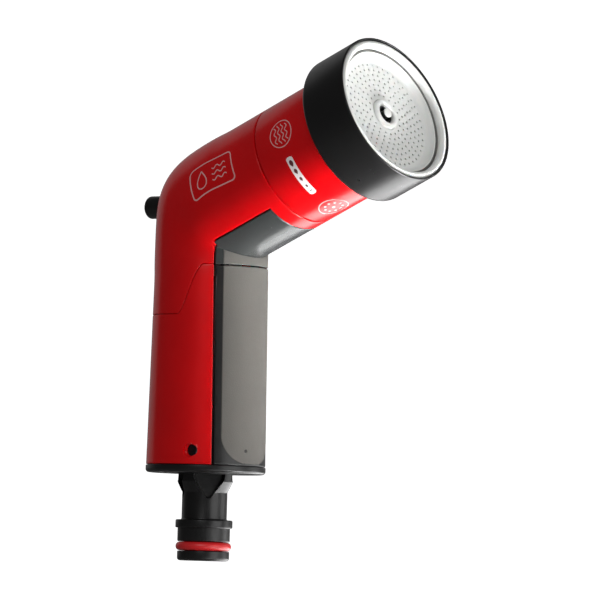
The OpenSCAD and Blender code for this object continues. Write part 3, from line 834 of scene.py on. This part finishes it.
valve_spring = coil("valve_coil", 3.3, 0.28, VALVE_FIXED_X, VALVE_FIXED_X + VALVE_FREE,
                    along_x(VALVE_Z))
latch_spring = coil("latch_coil", 2.75, 0.25, LATCH_FIXED_X - LATCH_FREE, LATCH_FIXED_X,
                    LATCH_AXES)
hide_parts("valve_spring")
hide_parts("lock_spring")
for ob in (valve_spring, latch_spring):
    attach(ob, "gun_body")
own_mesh(valve_spring)
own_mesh(latch_spring)


# ------------------------------------------------------------ hose plug and foot cap
def pocket_cutter(turn):
    """tapering pocket between two ribs of the plug's collar"""
    ray = np.array([math.cos(turn), math.sin(turn), 0])
    square = np.array([-math.sin(turn), math.cos(turn), 0])
    top_z = 26.4
    outline = fillet([(-5.1, top_z, 0.3), (-4.8, 24.6, 0.8), (-0.8, 18.7, 0.8),
                      (0.8, 18.7, 0.8), (4.8, 24.6, 0.8), (5.1, top_z, 0.3)])
    verts = []
    # layers from the floor of the pocket outwards: (distance from the axis, width factor)
    for radius, widen in ((5.5, 0.84), (6.7, 0.94), (7.6, 0.98), (12.0, 1.04)):
        for x, z in outline:
            height = top_z + (z - top_z) * (1 - (1 - widen) * 0.6)
            verts.append(ray * radius + square * x * widen + np.array([0, 0, height]))
    n = len(outline)
    faces = [tuple(range(n)), tuple(range(4 * n - 1, 3 * n - 1, -1))]
    for low in (0, n, 2 * n):
        faces += [(low + i, low + i + n, low + (i + 1) % n + n, low + (i + 1) % n)
                  for i in range(n)]
    return finish_mesh(new_obj("pocket", verts, faces))


def build_plug():
    plug = turned("hose_plug_body", [
        (4.2, 0, 0.35), (7.95, 0, 0.9), (7.95, 2.95, 0.25), (5.75, 2.95, 0.1),
        (5.75, 5.85, 0.1), (8.0, 5.85, 0.35), (8.0, 10.0, 0.1), (8.7, 10.0, 0.3),
        (8.7, 12.5, 0.45), (6.9, 12.5, 0.4), (6.9, 20.8, 0.8), (9.0, 24.1, 0.6),
        (9.0, 28.65, 0.1), (9.6, 28.65, 0.2), (9.6, 30.9, 0.2), (5.6, 30.9, 0.1),
        (5.6, 36.5, 0.2), (7.2, 36.5, 0.2), (7.2, 44, 0.2), (4.55, 44, 0.3),
        (4.55, 37.5, 0.1), (3.4, 37.5, 0.2), (3.4, 29.0, 0.2), (3.95, 29.0, 0.1),
        (3.95, 24.5, 0.05), (4.2, 24.5, 0.05),
    ], UPRIGHT)
    cut(plug, [pocket_cutter(math.radians(90 * i - 40)) for i in range(4)])
    return finish_mesh(plug)


def build_foot_cap():
    """cap under the handle with three stepped screw holes and a ring inside"""
    bottom = 26.6
    cap = turned("foot_cap", [
        (9.15, bottom, 0.2), (18.3, bottom, 1.0), (18.3, 28.82, 0.2), (17.7, 28.82, 0.05),
        (17.7, 28.99, 0.08), (9.75, 28.99, 0.05), (9.75, 28.6, 0.05), (9.15, 28.6, 0.05),
    ], UPRIGHT, 200, steps=7)
    cutters = []
    for place in SCREW_PLACES:
        down = (place, X_AXIS, -Y_AXIS, -Z_AXIS)
        cutters.append(flared_cutter(2.4, start=-28.1, end=-24, mouth=-bottom, flare=0.2,
                                     axes=down, around=64))
        shank = [(0, -31), (1.4, -31), (1.4, -27.5), (0, -27.5)]
        cutters.append(revolve("cutter", shank, down, 48))
    cut(cap, cutters)
    ring = tube("cap_ring", 9.75, 14.6, 28.7, 30.9, around=120)
    cut(ring, [front_cutter(4, 20, 50)])
    return join(cap, [ring])


plug = build_plug()
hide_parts("inlet_plug")
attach(plug, "gun_body")
cap = build_foot_cap()
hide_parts("base_cap")
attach(cap, "gun_body")

# ------------------------------------------------------------ printed marks
PRINT_LOW, PRINT_HIGH = -0.12, 0.045     # underside and top of a print, off the surface
OVER_LOW, OVER_HIGH = 0.02, 0.075        # the same for prints on top of another print
ICON_LINE = 0.30
ARC_PER_DEGREE = BARREL_R * math.pi / 180
# corners of the casing mark: (station, arc length from the top towards -Y)
BADGE = np.array([(113.1, 21.3), (128.3, 22.3), (128.5, 31.9), (111.0, 30.6)])
BADGE_W, BADGE_H = 16.2, 9.6


def on_collar(points, lift):
    """points: (distance along the barrel, arc length from the top towards -Y)"""
    points = np.asarray(points, float)
    turn = points[:, 1] / BARREL_R
    ray = -np.cos(turn)[:, None] * BELOW - np.sin(turn)[:, None] * Y_AXIS
    return ELBOW + points[:, 0][:, None] * ALONG + (BARREL_R + lift) * ray


def on_body(points, lift):
    """points: (along, down) inside the mark's outline on the -Y side of the casing"""
    points = np.asarray(points, float)
    x, y = (points[:, 0] / BADGE_W)[:, None], (points[:, 1] / BADGE_H)[:, None]
    place = (BADGE[0] * (1 - x) * (1 - y) + BADGE[1] * x * (1 - y)
             + BADGE[2] * x * y + BADGE[3] * (1 - x) * y)
    return surface(place[:, 0], math.pi + place[:, 1] / BARREL_R, lift)


def slab(place, left, right, closed=False, high=PRINT_HIGH):
    """strip between two lines of points; vertices are left low, left high, right low, high"""
    n = len(left)
    verts = np.concatenate([place(line, lift) for line in (left, right)
                            for lift in (PRINT_LOW, high)])
    faces = []
    for i in range(n if closed else n - 1):
        k = (i + 1) % n
        faces.append((n + i, n + k, 3 * n + k, 3 * n + i))
        faces.append((i, 2 * n + i, 2 * n + k, k))
        faces.append((i, k, n + k, n + i))
        faces.append((2 * n + i, 3 * n + i, 3 * n + k, 2 * n + k))
    if not closed:
        end = n - 1
        faces.append((0, n, 3 * n, 2 * n))
        faces.append((end, 2 * n + end, 3 * n + end, n + end))
    return verts, faces


def ribbon(place, points, width, closed=False):
    """printed line that follows the points"""
    points = np.asarray(points, float)
    n = len(points)
    left, right = [], []
    for i in range(n):
        if closed:
            along = points[(i + 1) % n] - points[i - 1]
        else:
            along = points[min(i + 1, n - 1)] - points[max(i - 1, 0)]
        along = unit(along)
        offset = np.array([-along[1], along[0]]) * width / 2
        left.append(points[i] + offset)
        right.append(points[i] - offset)
    return slab(place, left, right, closed)


def blob(place, points, low=PRINT_LOW, high=PRINT_HIGH):
    """filled printed shape from its outline"""
    n = len(points)
    middle = [np.mean(np.asarray(points, float), 0)]
    verts = np.concatenate([place(points, low), place(points, high),
                            place(middle, low), place(middle, high)])
    faces = []
    for i in range(n):
        k = (i + 1) % n
        faces.append((i, k, n + k, n + i))
        faces.append((n + i, n + k, 2 * n + 1))
        faces.append((k, i, 2 * n))
    return verts, faces


def collect(name, items):
    """one object from several printed shapes"""
    verts, faces, base = [], [], 0
    for item_verts, item_faces in items:
        verts.append(item_verts)
        faces += [tuple(base + i for i in face) for face in item_faces]
        base += len(item_verts)
    return finish_mesh(new_obj(name, np.concatenate(verts), faces), merge=0)


def circle(centre, radius, count=64):
    turn = np.arange(count) * 2 * math.pi / count
    return np.stack([centre[0] + radius * np.cos(turn), centre[1] + radius * np.sin(turn)], 1)


def dot(centre, radius):
    return blob(on_collar, circle(centre, radius, 16))


def icon_shower(centre):
    """ring with four wavy lines"""
    radius, pitch, margin = 4.25, 1.45, 0.95
    items = [ribbon(on_collar, circle(centre, radius), ICON_LINE, True)]
    for k in (-1.5, -0.5, 0.5, 1.5):
        half = math.sqrt(radius ** 2 - (k * pitch) ** 2) - margin
        wave = []
        for i in range(25):
            x = -half + 2 * half * i / 24
            wave.append((centre[0] + k * pitch + 0.40 * math.sin(x * 2.6), centre[1] + x))
        items.append(ribbon(on_collar, wave, ICON_LINE))
    return items


def icon_dots(centre):
    """ring with nine dots round a middle one"""
    items = [ribbon(on_collar, circle(centre, 4.5), ICON_LINE, True)]
    for i in range(9):
        turn = 2 * math.pi * i / 9
        place = (centre[0] + 2.7 * math.cos(turn), centre[1] + 2.7 * math.sin(turn))
        items.append(dot(place, 0.42))
    items.append(dot(centre, 0.55))
    return items


def icon_jet(centre):
    """two rings and a dot"""
    return [ribbon(on_collar, circle(centre, 4.5), ICON_LINE, True),
            ribbon(on_collar, circle(centre, 1.6, 32), ICON_LINE, True),
            dot(centre, 0.5)]


SCALE_ALONG = 47.4                       # place of the flow scale along the barrel
SCALE_MIDDLE = 123 * ARC_PER_DEGREE
SCALE_HALF = 20.5 * ARC_PER_DEGREE


def scale_strip():
    """pale strip round the collar, with rounded ends"""
    half_width, corner, count = 1.25, 0.8, 48
    left, right = [], []
    for i in range(count):
        x = -SCALE_HALF + 2 * SCALE_HALF * i / (count - 1)
        past = max(abs(x) - (SCALE_HALF - corner), 0)
        reach = half_width - corner + math.sqrt(max(corner * corner - past * past, 0.0))
        left.append((SCALE_ALONG + reach, SCALE_MIDDLE + x))
        right.append((SCALE_ALONG - reach, SCALE_MIDDLE + x))
    return [slab(on_collar, left, right)]


def scale_marks():
    """four drops in falling sizes and a short bar, on the strip"""
    items = []
    for k, size in enumerate((0.86, 0.72, 0.58, 0.45)):
        middle = SCALE_MIDDLE - SCALE_HALF + 2.1 + k * 2.75
        outline = []
        for i in range(28):
            turn = 2 * math.pi * i / 28
            x, y = math.cos(turn), math.sin(turn)
            taper = 1 - 0.62 * max(x, 0) ** 1.4
            outline.append((SCALE_ALONG + size * 0.80 * y * taper, middle + size * 1.25 * x))
        items.append(blob(on_collar, outline, OVER_LOW, OVER_HIGH))
    bar = SCALE_MIDDLE + SCALE_HALF - 1.5
    sides = [[(SCALE_ALONG + along, bar - 0.14), (SCALE_ALONG + along, bar + 0.14)]
             for along in (0.45, -0.45)]
    items.append(slab(on_collar, *sides, high=OVER_HIGH))
    return items


def between(start, end):
    """the 23 points that divide a straight line into 24"""
    return [(start[0] + (end[0] - start[0]) * i / 24, start[1] + (end[1] - start[1]) * i / 24)
            for i in range(1, 24)]


def casing_mark():
    """rounded frame with a drop and three waves"""
    corner_r = 1.3
    outline = []
    for x, y, start in ((corner_r, corner_r, 180), (BADGE_W - corner_r, corner_r, 270),
                        (BADGE_W - corner_r, BADGE_H - corner_r, 0),
                        (corner_r, BADGE_H - corner_r, 90)):
        turns = [math.radians(start + 90 * i / 8) for i in range(9)]
        corner = [(x + corner_r * math.cos(t), y + corner_r * math.sin(t)) for t in turns]
        if outline:
            outline += between(outline[-1], corner[0])
        outline += corner
    outline += between(outline[-1], outline[0])
    items = [ribbon(on_body, outline, 0.42, True)]
    turns = [2 * math.pi * i / 56 for i in range(1, 56)]
    drop = [(4.1 + 2.3 * math.sin(t) * math.sin(t / 2) ** 1.3, 4.9 - 2.75 * math.cos(t))
            for t in turns]
    items.append(ribbon(on_body, drop, 0.34, True))
    for k in range(3):
        wave = [(8.1 + 5.6 * i / 36, 2.9 + 1.9 * k + 0.42 * math.sin(i / 36 * 4 * math.pi))
                for i in range(37)]
        items.append(ribbon(on_body, wave, 0.34))
    return items


icons = collect("setting_icons", icon_shower((47.2, 79 * ARC_PER_DEGREE))
                + icon_dots((46.6, 171 * ARC_PER_DEGREE))
                + icon_jet((47.9, -13 * ARC_PER_DEGREE)))
drops = collect("scale_drops", scale_marks())
band = collect("flow_scale", scale_strip())
for ob in (icons, drops, band):
    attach(ob, "spray_head")
mark = collect("casing_mark", casing_mark())
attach(mark, "gun_body")


# ------------------------------------------------------------ shader helpers
def new_material(name):
    material = bpy.data.materials.new(name)
    material.use_nodes = True
    tree = material.node_tree
    tree.nodes.clear()
    output = tree.nodes.new("ShaderNodeOutputMaterial")
    shader = tree.nodes.new("ShaderNodeBsdfPrincipled")
    tree.links.new(shader.outputs[0], output.inputs[0])
    return material, tree, shader


def feed(tree, socket, value):
    """link an output to the socket, or set the socket's value"""
    if isinstance(value, bpy.types.NodeSocket):
        tree.links.new(value, socket)
    else:
        socket.default_value = value


def noise(tree, coords, scale, detail=3.0, roughness=0.5):
    node = tree.nodes.new("ShaderNodeTexNoise")
    feed(tree, node.inputs["Scale"], scale)
    feed(tree, node.inputs["Detail"], detail)
    feed(tree, node.inputs["Roughness"], roughness)
    feed(tree, node.inputs["Vector"], coords)
    return node.outputs[0]


def ramp(tree, source, low, high, low_color=(0, 0, 0), high_color=(1, 1, 1)):
    node = tree.nodes.new("ShaderNodeValToRGB")
    first, last = node.color_ramp.elements
    first.position, first.color = low, (*low_color, 1)
    last.position, last.color = high, (*high_color, 1)
    feed(tree, node.inputs[0], source)
    return node.outputs[0]


def map_range(tree, source, from_low, from_high, to_low, to_high):
    node = tree.nodes.new("ShaderNodeMapRange")
    for i, value in enumerate((source, from_low, from_high, to_low, to_high)):
        feed(tree, node.inputs[i], value)
    return node.outputs[0]


def arithmetic(tree, operation, *values):
    node = tree.nodes.new("ShaderNodeMath")
    node.operation = operation
    for i, value in enumerate(values):
        feed(tree, node.inputs[i], value)
    return node.outputs[0]


def mix(tree, kind, factor, a, b):
    node = tree.nodes.new("ShaderNodeMix")
    node.data_type = kind
    feed(tree, node.inputs["Factor"], factor)
    feed(tree, node.inputs["A"], a)
    feed(tree, node.inputs["B"], b)
    return node.outputs["Result"]


def mapping(tree, coords, scale, rotation=(0, 0, 0)):
    node = tree.nodes.new("ShaderNodeMapping")
    feed(tree, node.inputs["Scale"], scale)
    feed(tree, node.inputs["Rotation"], rotation)
    feed(tree, node.inputs["Vector"], coords)
    return node.outputs[0]


def bump(tree, height, strength, distance):
    node = tree.nodes.new("ShaderNodeBump")
    feed(tree, node.inputs["Strength"], strength)
    feed(tree, node.inputs["Distance"], distance)
    feed(tree, node.inputs["Height"], height)
    return node


# ------------------------------------------------------------ materials
def plastic(name, color, shade, roughness, spread, relief, grain=2200,
            edge=None, edge_amount=0.5, specular=0.5, subsurface=0.0):
    """moulded plastic or rubber

    color, shade: light and dark colour of the broad mottling
    edge, edge_amount: colour of worn edges, which on some materials is a painted edge highlight,
    and how strongly it shows
    relief, grain: strength and scale of the fine bumps
    edge, edge_amount: colour of worn edges and how strongly it shows
    """
    material, tree, shader = new_material(name)
    coords = tree.nodes.new("ShaderNodeTexCoord").outputs["Object"]
    mottle = noise(tree, coords, scale=60.0)
    base = ramp(tree, mottle, 0.30, 0.62, shade, color)
    if edge:
        # worn edges, and painted highlights on moulded edges, found from the surface's curvature
        geometry = tree.nodes.new("ShaderNodeNewGeometry")
        convex = ramp(tree, geometry.outputs["Pointiness"], 0.54, 0.63)
        breakup = noise(tree, coords, scale=900, detail=2, roughness=0.6)
        edge_wear_and_highlight = arithmetic(tree, "MULTIPLY", convex, breakup)
        edge_wear_and_highlight = arithmetic(tree, "MULTIPLY", edge_wear_and_highlight, edge_amount)
        base = mix(tree, "RGBA", edge_wear_and_highlight, base, (*edge, 1))
    feed(tree, shader.inputs["Base Color"], base)
    patches = noise(tree, coords, scale=420, detail=4, roughness=0.6)
    polish = map_range(tree, patches, 0.25, 0.75, roughness - spread, roughness + spread)
    # a few handling scuffs: stretched, sparse
    stretched = mapping(tree, coords, scale=(260, 260, 1500), rotation=(0.5, 0.9, 0.2))
    scuffs = ramp(tree, noise(tree, stretched, scale=1.0, detail=2), 0.66, 0.74)
    scuffed = arithmetic(tree, "MULTIPLY_ADD", scuffs, 0.02, polish)
    feed(tree, shader.inputs["Roughness"], scuffed)
    fine = bump(tree, noise(tree, coords, scale=grain, detail=2), relief, 0.0002)
    waves = bump(tree, mottle, relief * 0.5, 0.0006)
    feed(tree, waves.inputs["Normal"], fine.outputs[0])
    feed(tree, shader.inputs["Normal"], waves.outputs[0])
    shader.inputs["Specular IOR Level"].default_value = specular
    shader.inputs["Coat Roughness"].default_value = 0.15
    if subsurface:
        shader.inputs["Subsurface Weight"].default_value = subsurface
        shader.inputs["Subsurface Radius"].default_value = (0.001, 0.0006, 0.0004)
        shader.inputs["Subsurface Scale"].default_value = 0.6
    return material


def metal(name, color, roughness):
    """metal with fine lines square to Z"""
    material, tree, shader = new_material(name)
    coords = tree.nodes.new("ShaderNodeTexCoord").outputs["Object"]
    lines = noise(tree, mapping(tree, coords, scale=(40, 40, 1800)), scale=1.0, roughness=0.6)
    base = ramp(tree, lines, 0.3, 0.7, [x * 0.72 for x in color], color)
    feed(tree, shader.inputs["Base Color"], base)
    polish = map_range(tree, lines, 0.2, 0.8, roughness - 0.08, roughness + 0.12)
    feed(tree, shader.inputs["Roughness"], polish)
    relief = bump(tree, lines, strength=0.15, distance=0.0002)
    feed(tree, shader.inputs["Normal"], relief.outputs[0])
    shader.inputs["Metallic"].default_value = 1.0
    return material


SLOTS = {
    # the red's pale pink edge colour is a painted highlight along its edges and seams
    "red_plastic": plastic(
        "red_satin_gloss", color=(0.65, 0.0006, 0.003), shade=(0.59, 0.0005, 0.0024),
        roughness=0.22, spread=0.03, relief=0.02, grain=2400,
        edge=(0.95, 0.22, 0.20), edge_amount=0.9, specular=0.36),
    "black_plastic": plastic(
        "black_satin", color=(0.0088, 0.0086, 0.0088), shade=(0.0064, 0.0062, 0.0064),
        roughness=0.33, spread=0.05, relief=0.10,
        edge=(0.04, 0.04, 0.042), edge_amount=0.7),
    "grey_soft": plastic(
        "grey_soft_touch", color=(0.116, 0.110, 0.099), shade=(0.106, 0.101, 0.091),
        roughness=0.62, spread=0.05, relief=0.30, grain=3200,
        edge=(0.26, 0.25, 0.23), specular=0.35),
    "pale_plastic": plastic(
        "pale_satin", color=(0.76, 0.768, 0.748), shade=(0.71, 0.718, 0.70),
        roughness=0.44, spread=0.05, relief=0.06, grain=1800,
        edge=(0.84, 0.84, 0.83), edge_amount=0.4, specular=0.35, subsurface=0.08),
    "natural_plastic": plastic(
        "natural_acetal", color=(0.78, 0.765, 0.71), shade=(0.72, 0.70, 0.64),
        roughness=0.42, spread=0.06, relief=0.10, grain=1500,
        edge=(0.86, 0.85, 0.82), edge_amount=0.4, subsurface=0.05),
    "seal_rubber": plastic(
        "seal_rubber_black", color=(0.022, 0.022, 0.023), shade=(0.016, 0.016, 0.016),
        roughness=0.55, spread=0.06, relief=0.2, grain=2600, edge=(0.05, 0.05, 0.05)),
    "red_rubber": plastic(
        "seal_rubber_red", color=(0.68, 0.014, 0.018), shade=(0.60, 0.009, 0.013),
        roughness=0.34, spread=0.05, relief=0.12, grain=2600,
        edge=(0.8, 0.1, 0.09), specular=0.6),
    "steel": metal("steel_brushed", color=(0.62, 0.62, 0.63), roughness=0.32),
    "seat_brass": metal("brass_turned", color=(0.78, 0.57, 0.25), roughness=0.3),
}
# the light grey edge colour here is a painted highlight along the bezel's front edge
BEZEL_BLACK = plastic(
    "bezel_black", color=(0.0100, 0.0097, 0.0100), shade=(0.0075, 0.0072, 0.0075),
    roughness=0.31, spread=0.04, relief=0.06, edge=(0.30, 0.30, 0.29), edge_amount=1.0)
# dark grey of the ring in the rim's groove: painted shade
GROOVE_SHADE_GREY = plastic(
    "groove_shade_grey", color=(0.12, 0.12, 0.112), shade=(0.10, 0.10, 0.094),
    roughness=0.6, spread=0.05, relief=0.15, grain=2600, specular=0.3)
# trim black, several times lighter than black_plastic: the added lightness is painted sheen for
# the light the glossy trim reflects
GLOSS_BLACK_PAINTED_SHEEN = plastic(
    "black_gloss_painted_sheen", color=(0.036, 0.039, 0.039), shade=(0.031, 0.034, 0.034),
    roughness=0.24, spread=0.03, relief=0.0, edge=(0.05, 0.05, 0.052), edge_amount=0.7)
PRINT_LINES, PRINT_WHITE, PRINT_DARK = [
    plastic(name, color, shade, roughness=0.45, spread=0.05, relief=0.05, grain=2600)
    for name, color, shade in (
        ("print_lines", (0.80, 0.42, 0.42), (0.70, 0.30, 0.30)),
        ("print_white", (0.86, 0.80, 0.80), (0.80, 0.72, 0.72)),
        ("print_dark", (0.10, 0.012, 0.014), (0.07, 0.01, 0.01)))]
PIN_BLACK = metal("pin_black_oxide", color=(0.05, 0.05, 0.055), roughness=0.4)


def wear_material(ob, material):
    ob.data.materials.clear()
    ob.data.materials.append(material)


slot_of = {part["node"]: part["material_slot"] for part in frame["record"]["subparts"]}
for name, node in NODES.items():
    wear_material(node, PIN_BLACK if name == "trigger_pin" else SLOTS[slot_of[name]])
# object, slot, and its own material where it isn't the slot's
for ob, slot, own in (
        (body, "red_plastic", None),
        (handle, "red_plastic", None),
        (collar, "red_plastic", None),
        (trim, "black_plastic", GLOSS_BLACK_PAINTED_SHEEN),
        (trim_patch, "grey_soft", None),
        (lever, "black_plastic", None),
        (pad, "grey_soft", None),
        (bezel, "black_plastic", BEZEL_BLACK),
        (nozzle, "pale_plastic", None),
        (bore_shade, "black_plastic", None),
        (groove_shade_ring, "seal_rubber", GROOVE_SHADE_GREY),
        (knob, "black_plastic", None),
        (plug, "black_plastic", None),
        (cap, "black_plastic", None),
        (mark, "pale_plastic", PRINT_LINES),
        (valve_spring, "steel", None),
        (latch_spring, "steel", None),
        (band, "pale_plastic", PRINT_WHITE),
        (icons, "pale_plastic", PRINT_LINES),
        (drops, "red_rubber", PRINT_DARK)):
    wear_material(ob, own or SLOTS[slot])

# ------------------------------------------------------------ stage, light and camera (m)
VIEW_TURN = math.radians(50.0)           # camera direction, from +X towards -Y
VIEW_RISE = math.radians(-3.0)
TO_CAMERA = np.array([math.cos(VIEW_RISE) * math.cos(VIEW_TURN),
                      -math.cos(VIEW_RISE) * math.sin(VIEW_TURN), math.sin(VIEW_RISE)])
NEAR = np.array([math.cos(VIEW_TURN), -math.sin(VIEW_TURN), 0])    # level, to the camera
RIGHT = np.array([math.sin(VIEW_TURN), math.cos(VIEW_TURN), 0])    # the camera's right
TARGET = np.array([20.0, 0, 80.0]) * MM


def build_floor():
    """floor that curves up into a backdrop, well clear of the object"""
    floor_z, half_width, curve_start, curve_r = -0.17, 3.0, 1.4, 0.8
    profile = [(-1.2, 0.0)]              # (distance behind the object, height)
    profile += [(curve_start + curve_r * math.sin(turn), curve_r - curve_r * math.cos(turn))
                for turn in np.linspace(0, math.pi / 2, 24)]
    profile.append((curve_start + curve_r, 2.6))
    verts = [-NEAR * behind + RIGHT * across + np.array([0, 0, z + floor_z])
             for behind, z in profile for across in (-half_width, half_width)]
    faces = [(2 * i, 2 * i + 1, 2 * i + 3, 2 * i + 2) for i in range(len(profile) - 1)]
    floor = new_obj("studio_floor", verts, faces, 1.0)
    for face in floor.data.polygons:
        face.use_smooth = True
    return floor


def studio_white():
    """near white to the camera, greyer and dimmer in the light it gives the object"""
    backdrop_glow = 0.22                 # how strongly the backdrop lights the object
    seen_glow = 0.85
    material, tree, shader = new_material("studio_white")
    coords = tree.nodes.new("ShaderNodeTexCoord").outputs["Object"]
    mottle = noise(tree, coords, scale=3.0, detail=2)
    seen = tree.nodes.new("ShaderNodeLightPath").outputs["Is Camera Ray"]
    split = tree.nodes.new("ShaderNodeSeparateXYZ")
    feed(tree, split.inputs[0], coords)
    # 0 on the floor, 1 on the backdrop
    wall = map_range(tree, split.outputs[2], -0.15, 0.15, 0.0, 1.0)
    white = ramp(tree, mottle, 0.3, 0.7, (0.86, 0.86, 0.86), (0.9, 0.9, 0.9))
    color = mix(tree, "RGBA", seen, (0.25, 0.25, 0.25, 1), white)
    feed(tree, shader.inputs["Base Color"], color)
    shader.inputs["Roughness"].default_value = 0.9
    shader.inputs["Specular IOR Level"].default_value = 0.1
    shader.inputs["Emission Color"].default_value = (1, 1, 1, 1)
    unseen = arithmetic(tree, "MULTIPLY", wall, backdrop_glow)
    glow = mix(tree, "FLOAT", seen, unseen, seen_glow)
    feed(tree, shader.inputs["Emission Strength"], glow)
    return material


def build_world():
    """even room light for the matt response, a dimmer room for reflections, white when seen"""
    matt, glossy, seen = 0.32, 0.05, 1.0
    world = bpy.data.worlds.new("studio")
    bpy.context.scene.world = world
    world.use_nodes = True
    tree = world.node_tree
    background = tree.nodes["Background"]
    background.inputs[0].default_value = (1, 1, 1, 1)
    path = tree.nodes.new("ShaderNodeLightPath")
    unseen = mix(tree, "FLOAT", path.outputs["Is Glossy Ray"], matt, glossy)
    strength = mix(tree, "FLOAT", path.outputs["Is Camera Ray"], unseen, seen)
    feed(tree, background.inputs[1], strength)


def area(name, right, up, near, size, power, size_y=None, aim=(0, 0, 0)):
    """area light placed in the camera's terms from TARGET, aimed at TARGET + aim"""
    light = bpy.data.lights.new(name, "AREA")
    light.energy = power
    light.size = size
    if size_y:
        light.shape = "RECTANGLE"
        light.size_y = size_y
    ob = bpy.data.objects.new(name, light)
    bpy.context.scene.collection.objects.link(ob)
    place = Vector(TARGET + RIGHT * right + Z_AXIS * up + NEAR * near)
    ob.location = place
    ob.visible_camera = False
    look = Vector(TARGET + np.array(aim)) - place
    ob.rotation_euler = look.to_track_quat("-Z", "Y").to_euler()
    return light


def build_camera():
    """long lens, rolled a little so that the handle leans"""
    distance = 1.8
    roll = math.radians(-1.64)
    camera = bpy.data.cameras.new("camera")
    ob = bpy.data.objects.new("camera", camera)
    bpy.context.scene.collection.objects.link(ob)
    camera.sensor_width = 36.0
    camera.lens = 356.076
    camera.clip_start = 0.01
    camera.clip_end = 20
    forward = -TO_CAMERA
    level_up = np.cross(RIGHT, forward)
    right = RIGHT * math.cos(roll) - level_up * math.sin(roll)
    up = np.cross(right, forward)
    aim = (np.array([18.0, 0, 80.0]) + right * 13.5 - up * 0.6) * MM
    rotation = Matrix(np.stack([right, up, TO_CAMERA], axis=1).tolist())
    ob.matrix_world = Matrix.Translation(Vector(aim + TO_CAMERA * distance)) @ rotation.to_4x4()
    bpy.context.scene.camera = ob


floor = build_floor()
floor.data.materials.append(studio_white())
build_world()
area("key_right", right=0.74, up=0.02, near=0.52, size=0.7, size_y=0.7, power=2.9)
area("side_right", right=0.85, up=-0.05, near=-0.25, size=0.45, size_y=0.8, power=1.6)
area("low_back", right=0.14, up=-0.215, near=-0.12, size=0.30, size_y=0.30, power=1.3,
     aim=(0.02, 0, 0.03))
area("low_front", right=0.16, up=-0.235, near=0.16, size=0.36, size_y=0.24, power=0.5,
     aim=(0.01, 0, 0.01))
beam = area("low_beam", right=0.22, up=-0.235, near=0.06, size=0.16, size_y=0.16, power=0.40,
            aim=(0.018, 0, 0.040))
beam.spread = math.radians(42)
area("front_fill", right=-0.25, up=0.55, near=1.2, size=0.5, power=2.6)
build_camera()
bpy.context.scene.view_settings.view_transform = "Standard"
bpy.context.scene.view_settings.look = "None"
